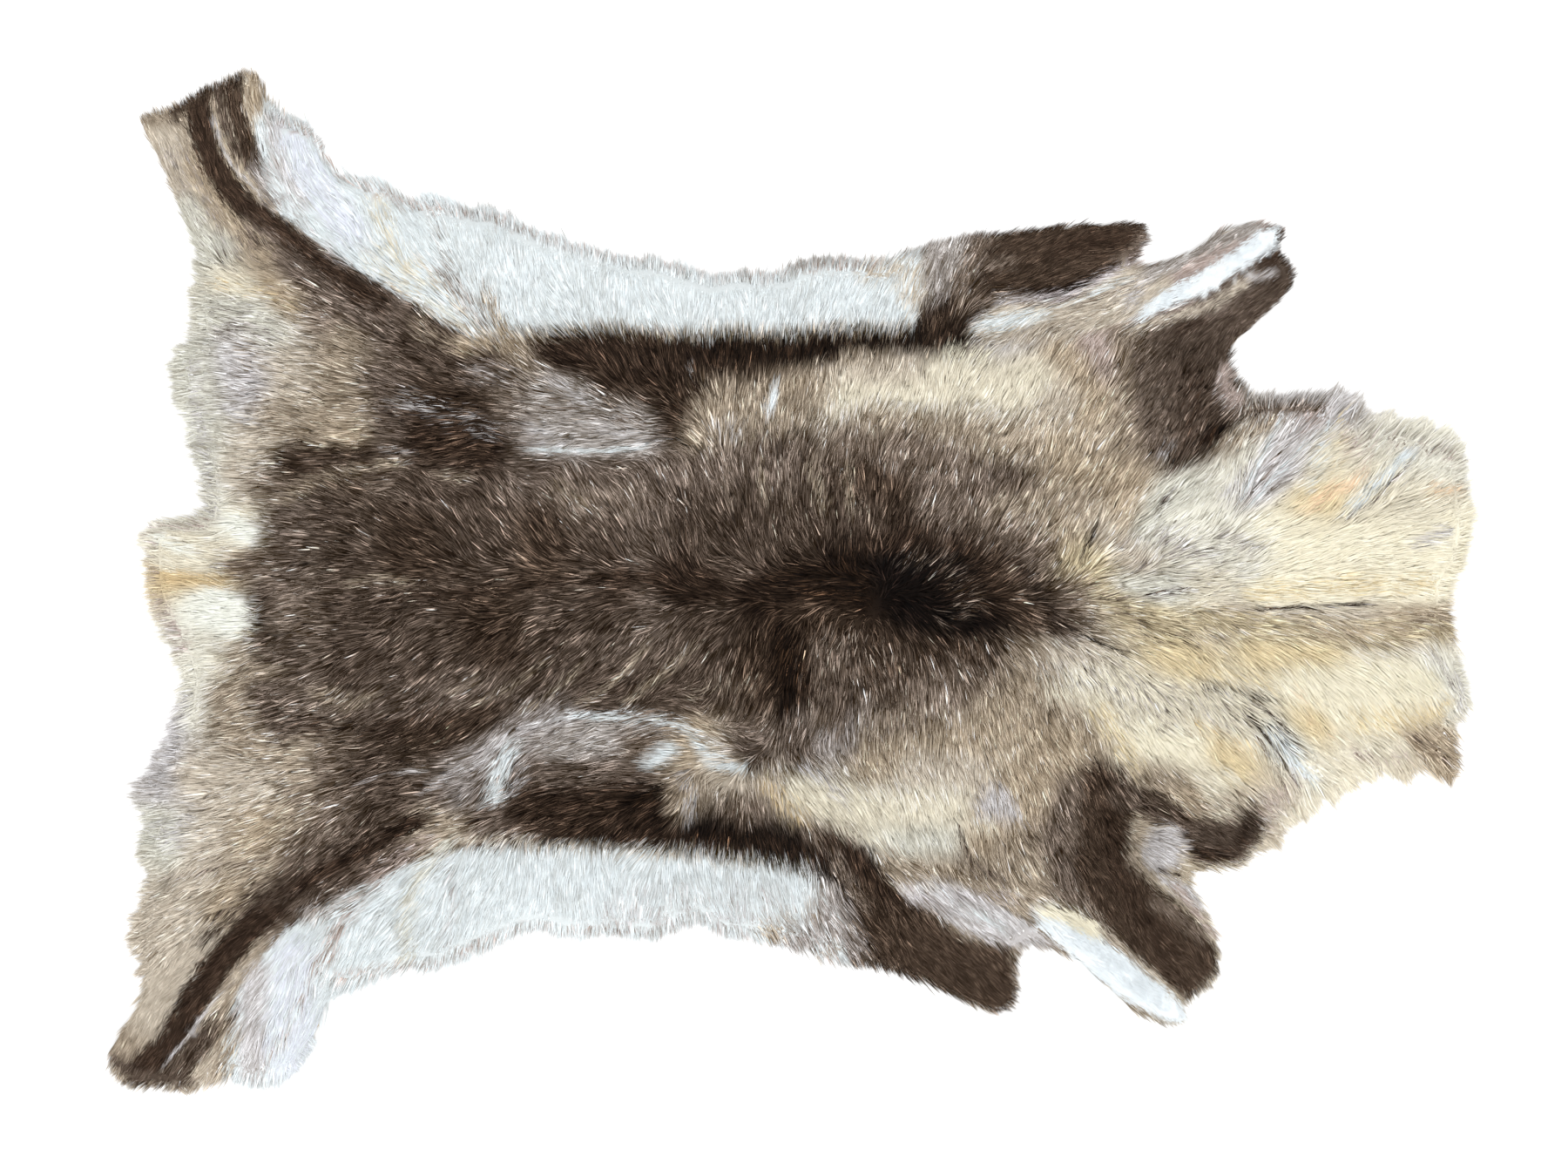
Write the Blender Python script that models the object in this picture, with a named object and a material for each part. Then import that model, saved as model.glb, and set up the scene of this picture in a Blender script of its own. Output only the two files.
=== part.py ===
"""A reindeer hide, tanned with its hair on, lying flat with the hair side up.

The hide is one closed solid: a flat underside, where the skin lies on the floor, and
a lumpy top, where the pile ends. Tapered locks of hair stand out around its rim.

Metres, +Z up. +X runs from the tail to the neck, and +Y to the left of the animal.
The origin is under the middle of the hide's bounding box, on the floor.
"""

import math
import random
from collections import namedtuple

import bmesh
import bpy
import numpy as np
from mathutils import Vector, noise
from mathutils.geometry import delaunay_2d_cdt

MM = 0.001

# Pile heights above the floor, skin included.
BACK_PILE = 25 * MM
EDGE_PILE = 15 * MM
RIM_HEIGHT = 4 * MM
LOCK_TIP_HEIGHT = 1 * MM

# How the pile rounds down to the rim, and steps down at the flank lines.
RIM_ROUNDING = 24 * MM
FLANK_STEP = 22 * MM

# Uneven clumps and tufts of hair over the whole hide.
CLUMP_SIZE = 46 * MM
CLUMP_HEIGHT = 2.4 * MM
TUFT_SIZE = 21 * MM
TUFT_HEIGHT = 0.9 * MM

# Spacing of the surface's points: over the pile, along its shoulder and on the rim.
PILE_SPACING = 18 * MM
SHOULDER_INSET = 9 * MM
SHOULDER_CLEARANCE = 5 * MM
SHOULDER_SPACING = 13 * MM
PLAIN_RIM_SPACING = 14 * MM
CURVE_STEPS = 12
MERGE_DISTANCE = 0.0001 * MM

# Locks: how far their roots are set in, how much they stand square to the rim and
# not along their stretch's heading, and how unlike one another they are.
ROOT_INSET = 0.3
SQUARE_SHARE = 0.3
LOCK_LENGTH_RANGE = (0.55, 1.3)
LOCK_SHIFT = 0.2
HEADING_SPREAD = math.radians(8)

SHARP_ANGLE = math.radians(50)
COLLECTION_NAME = "reindeer_hide"
SEED = 7

# The rim, walked clockwise as seen from above. lock and pitch are the mean length and
# spacing of its locks in millimetres, 0 where the edge was cut clean. heading is the
# way the locks point, in degrees from +X. points are in millimetres.
Stretch = namedtuple("Stretch", "name lock pitch heading points")

RIM = (
    Stretch("upper hind leg, cut end", 0, 0, 0,
            ((-598, 424), (-564, 436), (-542, 449), (-499, 466), (-487, 463))),
    Stretch("upper hind leg, inner edge", 7, 10, 70,
            ((-484, 448), (-470, 426), (-446, 418), (-434, 404), (-418, 373))),
    Stretch("upper belly, by the leg", 8, 12, 95,
            ((-370, 361), (-352, 345), (-324, 352), (-309, 341), (-266, 335))),
    Stretch("upper belly", 7, 13, 85,
            ((-247, 323), (-164, 296), (-116, 289), (-68, 275), (-50, 280),
             (-16, 277), (28, 292), (90, 290))),
    Stretch("upper foreleg flap", 0, 0, 0,
            ((106, 299), (180, 317), (308, 329), (332, 320), (316, 295), (328, 287))),
    Stretch("upper foreleg", 0, 0, 0,
            ((369, 301), (404, 324), (456, 326), (450, 305), (464, 286), (461, 265),
             (411, 215))),
    Stretch("upper neck, behind the foreleg", 6, 11, 60,
            ((405, 196), (421, 170), (438, 166), (482, 167))),
    Stretch("upper neck", 20, 11, 52,
            ((500, 167), (524, 156), (536, 141), (552, 143), (597, 131))),
    Stretch("neck end", 9, 12, -4,
            ((618, 116), (622, 84), (626, 60), (619, 16), (606, -8), (611, -60),
             (626, -110), (611, -135), (611, -156))),
    Stretch("lower neck", 20, 11, -55,
            ((612, -180), (578, -162), (566, -178), (540, -168), (498, -194),
             (483, -199), (472, -216), (455, -222), (449, -238))),
    Stretch("lower foreleg, small toe", 0, 0, 0,
            ((435, -244), (416, -265), (390, -263), (371, -271))),
    Stretch("lower foreleg", 0, 0, 0,
            ((371, -286), (394, -330), (393, -370), (361, -389), (370, -407),
             (348, -409), (316, -396), (266, -353), (227, -334))),
    Stretch("lower foreleg flap", 0, 0, 0,
            ((209, -348), (210, -386), (197, -398), (178, -395), (105, -362))),
    Stretch("lower belly", 7, 13, -87,
            ((64, -353), (-16, -331), (-60, -325), (-82, -311), (-128, -328),
             (-160, -323), (-200, -326), (-234, -319))),
    Stretch("lower belly, by the leg", 9, 12, -95,
            ((-276, -334), (-320, -354), (-364, -357), (-402, -376), (-416, -374))),
    Stretch("lower hind leg, inner edge", 7, 10, -60,
            ((-434, -416), (-448, -442), (-471, -460), (-498, -465), (-514, -456))),
    Stretch("lower hind leg, cut end", 0, 0, 0,
            ((-560, -470), (-586, -465), (-610, -467), (-626, -445), (-618, -418),
             (-602, -396))),
    Stretch("lower haunch", 17, 10, 190,
            ((-592, -362), (-592, -345), (-602, -332), (-588, -288), (-579, -271),
             (-594, -253), (-586, -218), (-597, -199), (-570, -154))),
    Stretch("rump, below the tail", 11, 9, 184,
            ((-554, -108), (-555, -84))),
    Stretch("tail", 13, 10, 178,
            ((-566, -58), (-584, -17), (-588, 30), (-586, 48))),
    Stretch("tail, upper edge", 5, 12, 115,
            ((-564, 52), (-538, 58))),
    Stretch("upper haunch", 13, 10, 176,
            ((-533, 76), (-546, 134), (-563, 182), (-562, 206), (-545, 222),
             (-546, 264))),
    Stretch("upper hind leg, outer edge", 0, 0, 0,
            ((-541, 290), (-562, 346), (-588, 400))),
)

# The thick pile of the back, haunches, shoulders and neck ends along this line. The
# belly strips, flaps and legs outside it are shorter haired. Millimetres.
BACK_EDGE = (
    (-620, 292), (-480, 320), (-400, 282), (-276, 216), (-160, 224), (0, 220),
    (120, 226), (236, 224), (330, 236), (402, 196), (440, 210), (680, 180),
    (680, -220), (470, -250), (400, -240), (300, -282), (210, -300), (120, -264),
    (60, -246), (-80, -246), (-330, -236), (-460, -320), (-540, -362), (-660, -350),
)

# Places where the hair is short: pile is the height there, ends and reach are in
# millimetres.
ShortHair = namedtuple("ShortHair", "name pile start end reach")

SHORT_HAIR_SPREAD = 1.6
SHORT_HAIR = (
    ShortHair("upper hind leg", 10 * MM, (-545, 440), (-470, 300), 62),
    ShortHair("lower hind leg", 10 * MM, (-570, -430), (-470, -330), 60),
    ShortHair("upper foreleg flap", 9 * MM, (200, 296), (300, 306), 34),
    ShortHair("upper foreleg", 9 * MM, (450, 300), (340, 240), 40),
    ShortHair("lower foreleg", 9 * MM, (370, -370), (310, -290), 44),
    ShortHair("lower small toe", 10 * MM, (420, -240), (380, -245), 20),
    ShortHair("lower foreleg flap", 9 * MM, (180, -366), (120, -330), 38),
)

# Folds, partings and whorls as soft ridges and troughs: rise is their height, or their
# depth where it is negative. Ends and reach, the half width, are in millimetres.
Fold = namedtuple("Fold", "name rise start end reach")

FOLDS = (
    Fold("neck trough", -8 * MM, (420, -26), (620, -40), 26),
    Fold("neck roll", 6 * MM, (450, -98), (605, -104), 34),
    Fold("neck crown", 3 * MM, (400, 20), (600, 30), 60),
    Fold("turned neck edge", 4 * MM, (410, 162), (500, 164), 12),
    Fold("groove by the turned edge", -7 * MM, (396, 150), (510, 148), 16),
    Fold("brown corner", -6 * MM, (560, -142), (612, -138), 18),
    Fold("neck fan, upper", 3 * MM, (410, 40), (500, 120), 24),
    Fold("neck fan, lower", 4 * MM, (430, -130), (480, -180), 24),
    Fold("withers crease", -8 * MM, (200, -22), (272, -40), 15),
    Fold("spine line", -2.5 * MM, (-440, -18), (190, -14), 22),
    Fold("loin parting", -4 * MM, (-100, 76), (-102, 22), 12),
    Fold("upper flank whorl", -8 * MM, (-112, 144), (-104, 144), 26),
    Fold("lower flank whorl", -8 * MM, (-40, -166), (-34, -166), 26),
    Fold("upper flank swell", 3 * MM, (-60, 180), (200, 190), 40),
    Fold("lower flank swell", 3 * MM, (-240, -200), (60, -206), 36),
    Fold("upper haunch swell", 3 * MM, (-480, 200), (-440, 120), 70),
    Fold("lower haunch swell", 3 * MM, (-500, -150), (-440, -220), 70),
    Fold("upper leg groove", -3 * MM, (-530, 420), (-500, 345), 11),
    Fold("lower leg groove", -3 * MM, (-560, -430), (-490, -360), 11),
    Fold("upper stifle swell", 5 * MM, (-420, 300), (-330, 262), 34),
    Fold("lower stifle swell", 5 * MM, (-420, -330), (-330, -290), 34),
)

Coat = namedtuple("Coat", "name colour roughness metallic")
COAT = Coat("reindeer_hair", (0.27, 0.22, 0.17, 1.0), 0.82, 0.0)


def metres(point):
    """A table's point in millimetres as a flat vector in metres."""
    return Vector((point[0] * MM, point[1] * MM))


def smooth_step(value):
    """0 below 0, 1 above 1, and an even S between."""
    value = min(max(value, 0.0), 1.0)
    return value * value * (3.0 - 2.0 * value)


class Path:
    """A run of straight pieces, open or closed, that places are measured from."""

    def __init__(self, points, closed=True):
        corners = np.array([(point.x, point.y) for point in points])
        self.start = corners if closed else corners[:-1]
        self.run = np.roll(corners, -1, axis=0)[:len(self.start)] - self.start
        self.square = np.maximum((self.run ** 2).sum(axis=1), MERGE_DISTANCE ** 2)

    def distance(self, point):
        """How far a flat point is from the nearest piece."""
        offset = np.array((point.x, point.y)) - self.start
        share = np.clip((offset * self.run).sum(axis=1) / self.square, 0.0, 1.0)
        gap = offset - self.run * share[:, None]
        return math.sqrt((gap ** 2).sum(axis=1).min())

    def holds(self, point):
        """Whether a flat point lies inside the closed path."""
        above = self.start[:, 1] > point.y
        crosses = above != np.roll(above, -1)
        start = self.start[crosses]
        run = self.run[crosses]
        meets = start[:, 0] + (point.y - start[:, 1]) * run[:, 0] / run[:, 1]
        return bool((point.x < meets).sum() % 2)


def catmull_rom(before, start, end, after, share):
    """A point on the smooth curve through start and end."""
    square = share * share
    cube = square * share
    return 0.5 * (
        2.0 * start
        + (end - before) * share
        + (2.0 * before - 5.0 * start + 4.0 * end - after) * square
        + (3.0 * start - before - 3.0 * end + after) * cube
    )


def rim_curves():
    """Each stretch of the rim as a smooth run of close points, up to the next one."""
    corners = []
    for row, stretch in enumerate(RIM):
        corners += [(row, metres(point)) for point in stretch.points]
    runs = [[] for _ in RIM]
    count = len(corners)
    for index, (row, start) in enumerate(corners):
        before = corners[index - 1][1]
        end = corners[(index + 1) % count][1]
        after = corners[(index + 2) % count][1]
        for step in range(CURVE_STEPS):
            runs[row].append(catmull_rom(before, start, end, after, step / CURVE_STEPS))
    for row, run in enumerate(runs):
        run.append(runs[(row + 1) % len(runs)][0])
    return runs


def run_length(run):
    """The length of a run of points."""
    return sum((end - start).length for start, end in zip(run, run[1:]))


def walk(run, pieces):
    """Points that part a run of close points into pieces of even length."""
    lengths = [0.0]
    for start, end in zip(run, run[1:]):
        lengths.append(lengths[-1] + (end - start).length)
    stations = []
    index = 0
    for piece in range(pieces + 1):
        target = lengths[-1] * piece / pieces
        while index < len(run) - 2 and lengths[index + 1] < target:
            index += 1
        share = (target - lengths[index]) / (lengths[index + 1] - lengths[index])
        stations.append(run[index].lerp(run[index + 1], share))
    return stations


def rim_points(runs, rng):
    """The outline with its locks: flat points, each with its height above the floor."""
    outline = []
    for stretch, run in zip(RIM, runs):
        if not stretch.lock:
            pieces = max(2, round(run_length(run) / PLAIN_RIM_SPACING))
            outline += [(point, RIM_HEIGHT) for point in walk(run, pieces)[:-1]]
            continue
        roots = walk(run, max(2, round(run_length(run) / (stretch.pitch * MM))))
        for index, (left, right) in enumerate(zip(roots, roots[1:])):
            along = roots[min(index + 3, len(roots) - 1)] - roots[max(index - 2, 0)]
            square = Vector((-along.y, along.x)).normalized()
            turn = rng.uniform(-HEADING_SPREAD, HEADING_SPREAD)
            way = math.radians(stretch.heading) + turn
            heading = Vector((math.cos(way), math.sin(way)))
            heading = heading.lerp(square, SQUARE_SHARE).normalized()
            length = stretch.lock * MM * rng.uniform(*LOCK_LENGTH_RANGE)
            middle = left.lerp(right, 0.5 + rng.uniform(-LOCK_SHIFT, LOCK_SHIFT))
            inset = length * ROOT_INSET if index else 0.0
            tip = middle + heading * length * (1.0 - ROOT_INSET)
            outline.append((left - square * inset, RIM_HEIGHT))
            outline.append((tip, LOCK_TIP_HEIGHT))
    return outline


def shoulder_points(base, rim):
    """A row of points just inside the rim, where the pile turns over."""
    row = walk(base + base[:1], round(run_length(base) / SHOULDER_SPACING))[:-1]
    points = []
    for index, point in enumerate(row):
        along = row[(index + 1) % len(row)] - row[index - 1]
        inset = point + Vector((along.y, -along.x)).normalized() * SHOULDER_INSET
        if rim.holds(inset) and rim.distance(inset) > SHOULDER_CLEARANCE:
            points.append(inset)
    return points


def pile_points(base, rim):
    """Evenly staggered points over the rest of the hide."""
    low_x = min(point.x for point in base)
    low_y = min(point.y for point in base)
    row_gap = PILE_SPACING * math.sqrt(3.0) / 2.0
    columns = math.ceil((max(point.x for point in base) - low_x) / PILE_SPACING)
    rows = math.ceil((max(point.y for point in base) - low_y) / row_gap)
    shoulder = Path(base)
    clearance = SHOULDER_INSET + PILE_SPACING / 2.0
    points = []
    for row in range(rows):
        for column in range(columns):
            x = low_x + (column + 0.5 * (row % 2)) * PILE_SPACING
            point = Vector((x, low_y + row * row_gap))
            if rim.holds(point) and shoulder.distance(point) > clearance:
                points.append(point)
    return points


def closeness(point, place):
    """1 on the line between a table row's two ends, fading to 0 at its reach."""
    line = Path([metres(place.start), metres(place.end)], closed=False)
    return 1.0 - smooth_step(line.distance(point) / (place.reach * MM))


def pile_height(point, rim, back_edge):
    """Height of the hair's tips above the floor at a flat point inside the rim."""
    inward = back_edge.distance(point)
    if not back_edge.holds(point):
        inward = -inward
    share = smooth_step(0.5 + inward / FLANK_STEP)
    pile = EDGE_PILE + (BACK_PILE - EDGE_PILE) * share
    for place in SHORT_HAIR:
        share = min(1.0, SHORT_HAIR_SPREAD * closeness(point, place))
        pile += (place.pile - pile) * share
    for fold in FOLDS:
        pile += fold.rise * closeness(point, fold)
    pile += CLUMP_HEIGHT * noise.noise(Vector((point.x, point.y, 0.0)) / CLUMP_SIZE)
    pile += TUFT_HEIGHT * noise.noise(Vector((point.x, point.y, 1.0)) / TUFT_SIZE)
    rounding = min(1.0, rim.distance(point) / RIM_ROUNDING)
    return RIM_HEIGHT + (pile - RIM_HEIGHT) * math.sqrt(1.0 - (1.0 - rounding) ** 2)


def slab_mesh(flat, faces, heights):
    """A closed slab: the top's faces at their heights, walls and a flat underside."""
    low = Vector((min(point.x for point in flat), min(point.y for point in flat)))
    high = Vector((max(point.x for point in flat), max(point.y for point in flat)))
    middle = (low + high) / 2.0
    bm = bmesh.new()
    verts = []
    for point, height in zip(flat, heights):
        verts.append(bm.verts.new((point.x - middle.x, point.y - middle.y, height)))
    for face in faces:
        bm.faces.new([verts[index] for index in face])
    rim_edges = [edge for edge in bm.edges if edge.is_boundary]
    wall = bmesh.ops.extrude_edge_only(bm, edges=rim_edges)["geom"]
    for vert in [item for item in wall if isinstance(item, bmesh.types.BMVert)]:
        vert.co.z = 0.0
    floor_edges = [edge for edge in bm.edges if edge.is_boundary]
    bmesh.ops.contextual_create(bm, geom=floor_edges)
    bmesh.ops.recalc_face_normals(bm, faces=bm.faces[:])
    mesh = bpy.data.meshes.new("hide")
    bm.to_mesh(mesh)
    bm.free()
    return mesh


def hide_mesh():
    """The whole hide: its rim with locks, and its pile inside the rim."""
    runs = rim_curves()
    base = [point for run in runs for point in run[:-1]]
    outline = rim_points(runs, random.Random(SEED))
    rim = Path([point for point, _ in outline])
    back_edge = Path([metres(point) for point in BACK_EDGE])
    inner = shoulder_points(base, rim) + pile_points(base, rim)
    heights = [height for _, height in outline]
    heights += [pile_height(point, rim, back_edge) for point in inner]

    flat = [point for point, _ in outline] + inner
    rim_face = [list(range(len(outline)))]
    inside_only = 1
    flat, _, faces, _, _, _ = delaunay_2d_cdt(
        flat, [], rim_face, inside_only, MERGE_DISTANCE)
    return slab_mesh(flat, faces, heights)


def coat_material():
    """The hair's mean colour, dull and not metallic."""
    material = bpy.data.materials.new(COAT.name)
    material.use_nodes = True
    shader = material.node_tree.nodes["Principled BSDF"]
    shader.inputs["Base Color"].default_value = COAT.colour
    shader.inputs["Roughness"].default_value = COAT.roughness
    shader.inputs["Metallic"].default_value = COAT.metallic
    return material


def main():
    for thing in list(bpy.data.objects):
        bpy.data.objects.remove(thing, do_unlink=True)
    collection = bpy.data.collections.new(COLLECTION_NAME)
    bpy.context.scene.collection.children.link(collection)

    mesh = hide_mesh()
    mesh.materials.append(coat_material())
    mesh.shade_smooth()
    mesh.set_sharp_from_angle(angle=SHARP_ANGLE)
    hide = bpy.data.objects.new("hide", mesh)
    collection.objects.link(hide)


main()
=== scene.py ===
# %% [markdown]
# # A reindeer hide, hair side up
#
# A reindeer hide is one piece of tanned skin that keeps its winter coat: soft wool at
# the skin, and over it long, hollow guard hairs that all lie the way they were combed
# by the animal's walk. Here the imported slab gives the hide's place, outline and
# height. On it we lay the leather, the wool, and then the guard hair, strand by
# strand, in the colours of the real coat.

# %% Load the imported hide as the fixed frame
import math

import bmesh
import bpy
import numpy as np
from mathutils import Matrix, Vector
from mathutils.bvhtree import BVHTree


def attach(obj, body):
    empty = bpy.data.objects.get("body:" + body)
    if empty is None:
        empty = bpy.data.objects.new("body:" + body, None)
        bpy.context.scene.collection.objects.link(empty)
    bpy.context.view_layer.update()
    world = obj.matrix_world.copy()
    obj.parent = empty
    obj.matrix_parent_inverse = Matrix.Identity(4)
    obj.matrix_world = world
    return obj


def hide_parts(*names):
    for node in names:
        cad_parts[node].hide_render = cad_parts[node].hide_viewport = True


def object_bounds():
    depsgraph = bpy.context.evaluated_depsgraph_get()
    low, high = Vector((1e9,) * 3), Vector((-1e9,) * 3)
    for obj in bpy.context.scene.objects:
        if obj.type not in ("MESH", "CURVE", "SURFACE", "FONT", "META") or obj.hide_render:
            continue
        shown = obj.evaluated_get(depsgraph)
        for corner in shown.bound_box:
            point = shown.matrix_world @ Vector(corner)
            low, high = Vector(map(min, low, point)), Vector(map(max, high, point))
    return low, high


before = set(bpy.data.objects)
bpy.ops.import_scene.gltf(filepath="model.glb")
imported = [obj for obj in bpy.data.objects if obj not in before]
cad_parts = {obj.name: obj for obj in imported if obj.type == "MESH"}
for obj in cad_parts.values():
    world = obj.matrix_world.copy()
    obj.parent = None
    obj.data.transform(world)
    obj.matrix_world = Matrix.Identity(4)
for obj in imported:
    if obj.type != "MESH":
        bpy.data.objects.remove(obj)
cad_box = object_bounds()
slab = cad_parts["hide"]
print("packed box", [tuple(round(value, 4) for value in corner) for corner in cad_box])

# %% [markdown]
# ## The camera comes first
#
# The hide was photographed from straight above. Markings are easiest to read off a
# picture, so every place on the coat is given below in the picture's own pixels, and
# one scale turns them into metres. The camera hangs over the middle of that picture,
# far enough away that its long lens takes in the same width.

# %% Pixels to metres, and the camera
PIXEL = 0.0008
ZERO_PIXEL = np.array((909.66, 669.49))
PICTURE = np.array((1800.0, 1350.0))
MM = 0.001
LENS = 85.0
SENSOR = 36.0
PILE = 20 * MM


def metres(pixels):
    """Places in the picture as flat places on the hide."""
    return (np.asarray(pixels, float) - ZERO_PIXEL) * (PIXEL, -PIXEL)


def pixels(places):
    """Flat places on the hide as places in the picture."""
    return np.asarray(places) / (PIXEL, -PIXEL) + ZERO_PIXEL


def put(name, data):
    """A new object in the scene."""
    thing = bpy.data.objects.new(name, data)
    bpy.context.collection.objects.link(thing)
    return thing


middle = metres(PICTURE / 2)
camera = put("camera", bpy.data.cameras.new("camera"))
camera.data.lens = LENS
camera.data.sensor_width = SENSOR
camera.location = (*middle, PILE + PICTURE[0] * PIXEL * LENS / SENSOR)
bpy.context.scene.camera = camera
print("camera at", tuple(round(value, 3) for value in camera.location))

# %% [markdown]
# ## Reading the slab
#
# Hair has to know how high the pile stands wherever it grows, and how near the rim
# is. Both could be asked of the mesh for every strand, but there are hundreds of
# thousands of strands, so we ask once on an even net of points and read between them.
# The rim itself is the edge of the slab's flat underside. Its long thin corners are
# locks of hair. Without them it is the outline of the skin.

# %% The rim, its locks and the skin's outline
MERGE = 1e-5
FACING_DOWN = -0.9
LOCK_CORNER = math.radians(75)


def shell(node):
    """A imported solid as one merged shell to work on."""
    bm = bmesh.new()
    bm.from_mesh(node.data)
    bmesh.ops.remove_doubles(bm, verts=bm.verts[:], dist=MERGE)
    return bm


def underside(node):
    """The shell's flat underside alone."""
    bm = shell(node)
    upper = [face for face in bm.faces if face.normal.z > FACING_DOWN]
    bmesh.ops.delete(bm, geom=upper, context="FACES")
    return bm


def rim_loop(node):
    """The edge of the underside as flat points, in order and anticlockwise."""
    bm = underside(node)
    start = next(edge for edge in bm.edges if edge.is_boundary).verts[0]
    loop, before, here = [start], None, start
    while True:
        ways = [edge.other_vert(here) for edge in here.link_edges if edge.is_boundary]
        here, before = next(vert for vert in ways if vert is not before), here
        if here is start:
            break
        loop.append(here)
    points = np.array([vert.co[:2] for vert in loop])
    bm.free()
    following = np.roll(points, -1, axis=0)
    area = (points[:, 0] * following[:, 1] - following[:, 0] * points[:, 1]).sum() / 2
    return points if area > 0 else points[::-1]


def corner_angles(points):
    """The angle inside each corner of a closed outline."""
    back = np.roll(points, 1, axis=0) - points
    on = np.roll(points, -1, axis=0) - points
    turn = np.arctan2(back[:, 1], back[:, 0]) - np.arctan2(on[:, 1], on[:, 0])
    return turn % (2 * math.pi)


rim = rim_loop(slab)
is_lock = corner_angles(rim) < LOCK_CORNER
skin_line = rim[~is_lock]
print(len(rim), "rim points,", int(is_lock.sum()), "locks")

# %% Measuring along lines
TINY = 1e-12


def line_distance(places, points, closed=False):
    """How far flat places are from a run of straight pieces."""
    points = np.asarray(points, float)
    start = points if closed or len(points) == 1 else points[:-1]
    legs = np.roll(points, -1, axis=0)[:len(start)] - start
    nearest = np.full(len(places), np.inf)
    for corner, leg in zip(start, legs):
        offset = places - corner
        share = np.clip(offset @ leg / max(leg @ leg, TINY), 0, 1)
        gap = offset - share[:, None] * leg
        nearest = np.minimum(nearest, (gap ** 2).sum(axis=1))
    return np.sqrt(nearest)


def holds(places, outline):
    """Which flat places lie inside a closed outline."""
    odd = np.zeros(len(places), bool)
    for start, end in zip(outline, np.roll(outline, -1, axis=0)):
        if start[1] == end[1]:
            continue
        across = (start[1] > places[:, 1]) != (end[1] > places[:, 1])
        share = (places[:, 1] - start[1]) / (end[1] - start[1])
        odd ^= across & (places[:, 0] < start[0] + share * (end[0] - start[0]))
    return odd


def depth_inside(places, outline):
    """How far inside a closed outline flat places lie, negative outside it."""
    distance = line_distance(places, outline, closed=True)
    return np.where(holds(places, outline), distance, -distance)


# %% A net of points that keeps what it reads off the slab
NET_STEP = 4 * MM
NET_MARGIN = 50 * MM
NET_END = 1.001
BARE = 1 * MM

net_low = np.array(cad_box[0][:2]) - NET_MARGIN
net_count = np.ceil(
    (np.array(cad_box[1][:2]) + NET_MARGIN - net_low) / NET_STEP).astype(int) + 1
net_x, net_y = [net_low[axis] + NET_STEP * np.arange(net_count[axis]) for axis in (0, 1)]
net = np.stack(np.meshgrid(net_x, net_y, indexing="ij"), axis=-1).reshape(-1, 2)


def read_net(field, places):
    """A field of the net at any flat places, evenly between its four nearest points."""
    field = field.reshape(*net_count, -1)
    at = np.clip((places - net_low) / NET_STEP, 0, net_count - NET_END)
    cell = at.astype(int)
    share = at - cell
    value = 0
    for step_x in (0, 1):
        for step_y in (0, 1):
            near = field[cell[:, 0] + step_x, cell[:, 1] + step_y]
            part_x = share[:, 0] if step_x else 1 - share[:, 0]
            part_y = share[:, 1] if step_y else 1 - share[:, 1]
            value = value + near * (part_x * part_y)[:, None]
    return value[:, 0] if value.shape[1] == 1 else value


def slab_heights(node):
    """The height of the slab's top over each point of the net."""
    mesh = node.data
    tree = BVHTree.FromPolygons(
        [vert.co for vert in mesh.vertices], [face.vertices for face in mesh.polygons])
    down = Vector((0, 0, -1))
    hits = [tree.ray_cast(Vector((x, y, 1)), down)[0] for x, y in net]
    return np.array([hit.z if hit else BARE for hit in hits])


pile_net = slab_heights(slab)
rim_net = depth_inside(net, rim)
skin_net = depth_inside(net, skin_line)
print("net", tuple(net_count), "pile up to", round(float(pile_net.max()), 4))

# %% [markdown]
# ## How the hair lies
#
# Guard hair is not upright. On the living animal it points backwards and down, and
# here, spread flat, it runs from the spine to the bellies and on to the legs. Where
# the foreleg's skin stretched as it walked there is a whorl on each flank, from which
# the hair turns every way. We comb the hide with a table of strokes, each drawn the
# way the tips point. Between strokes the hair takes a mean of its neighbours, in
# which near ones count most.

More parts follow.
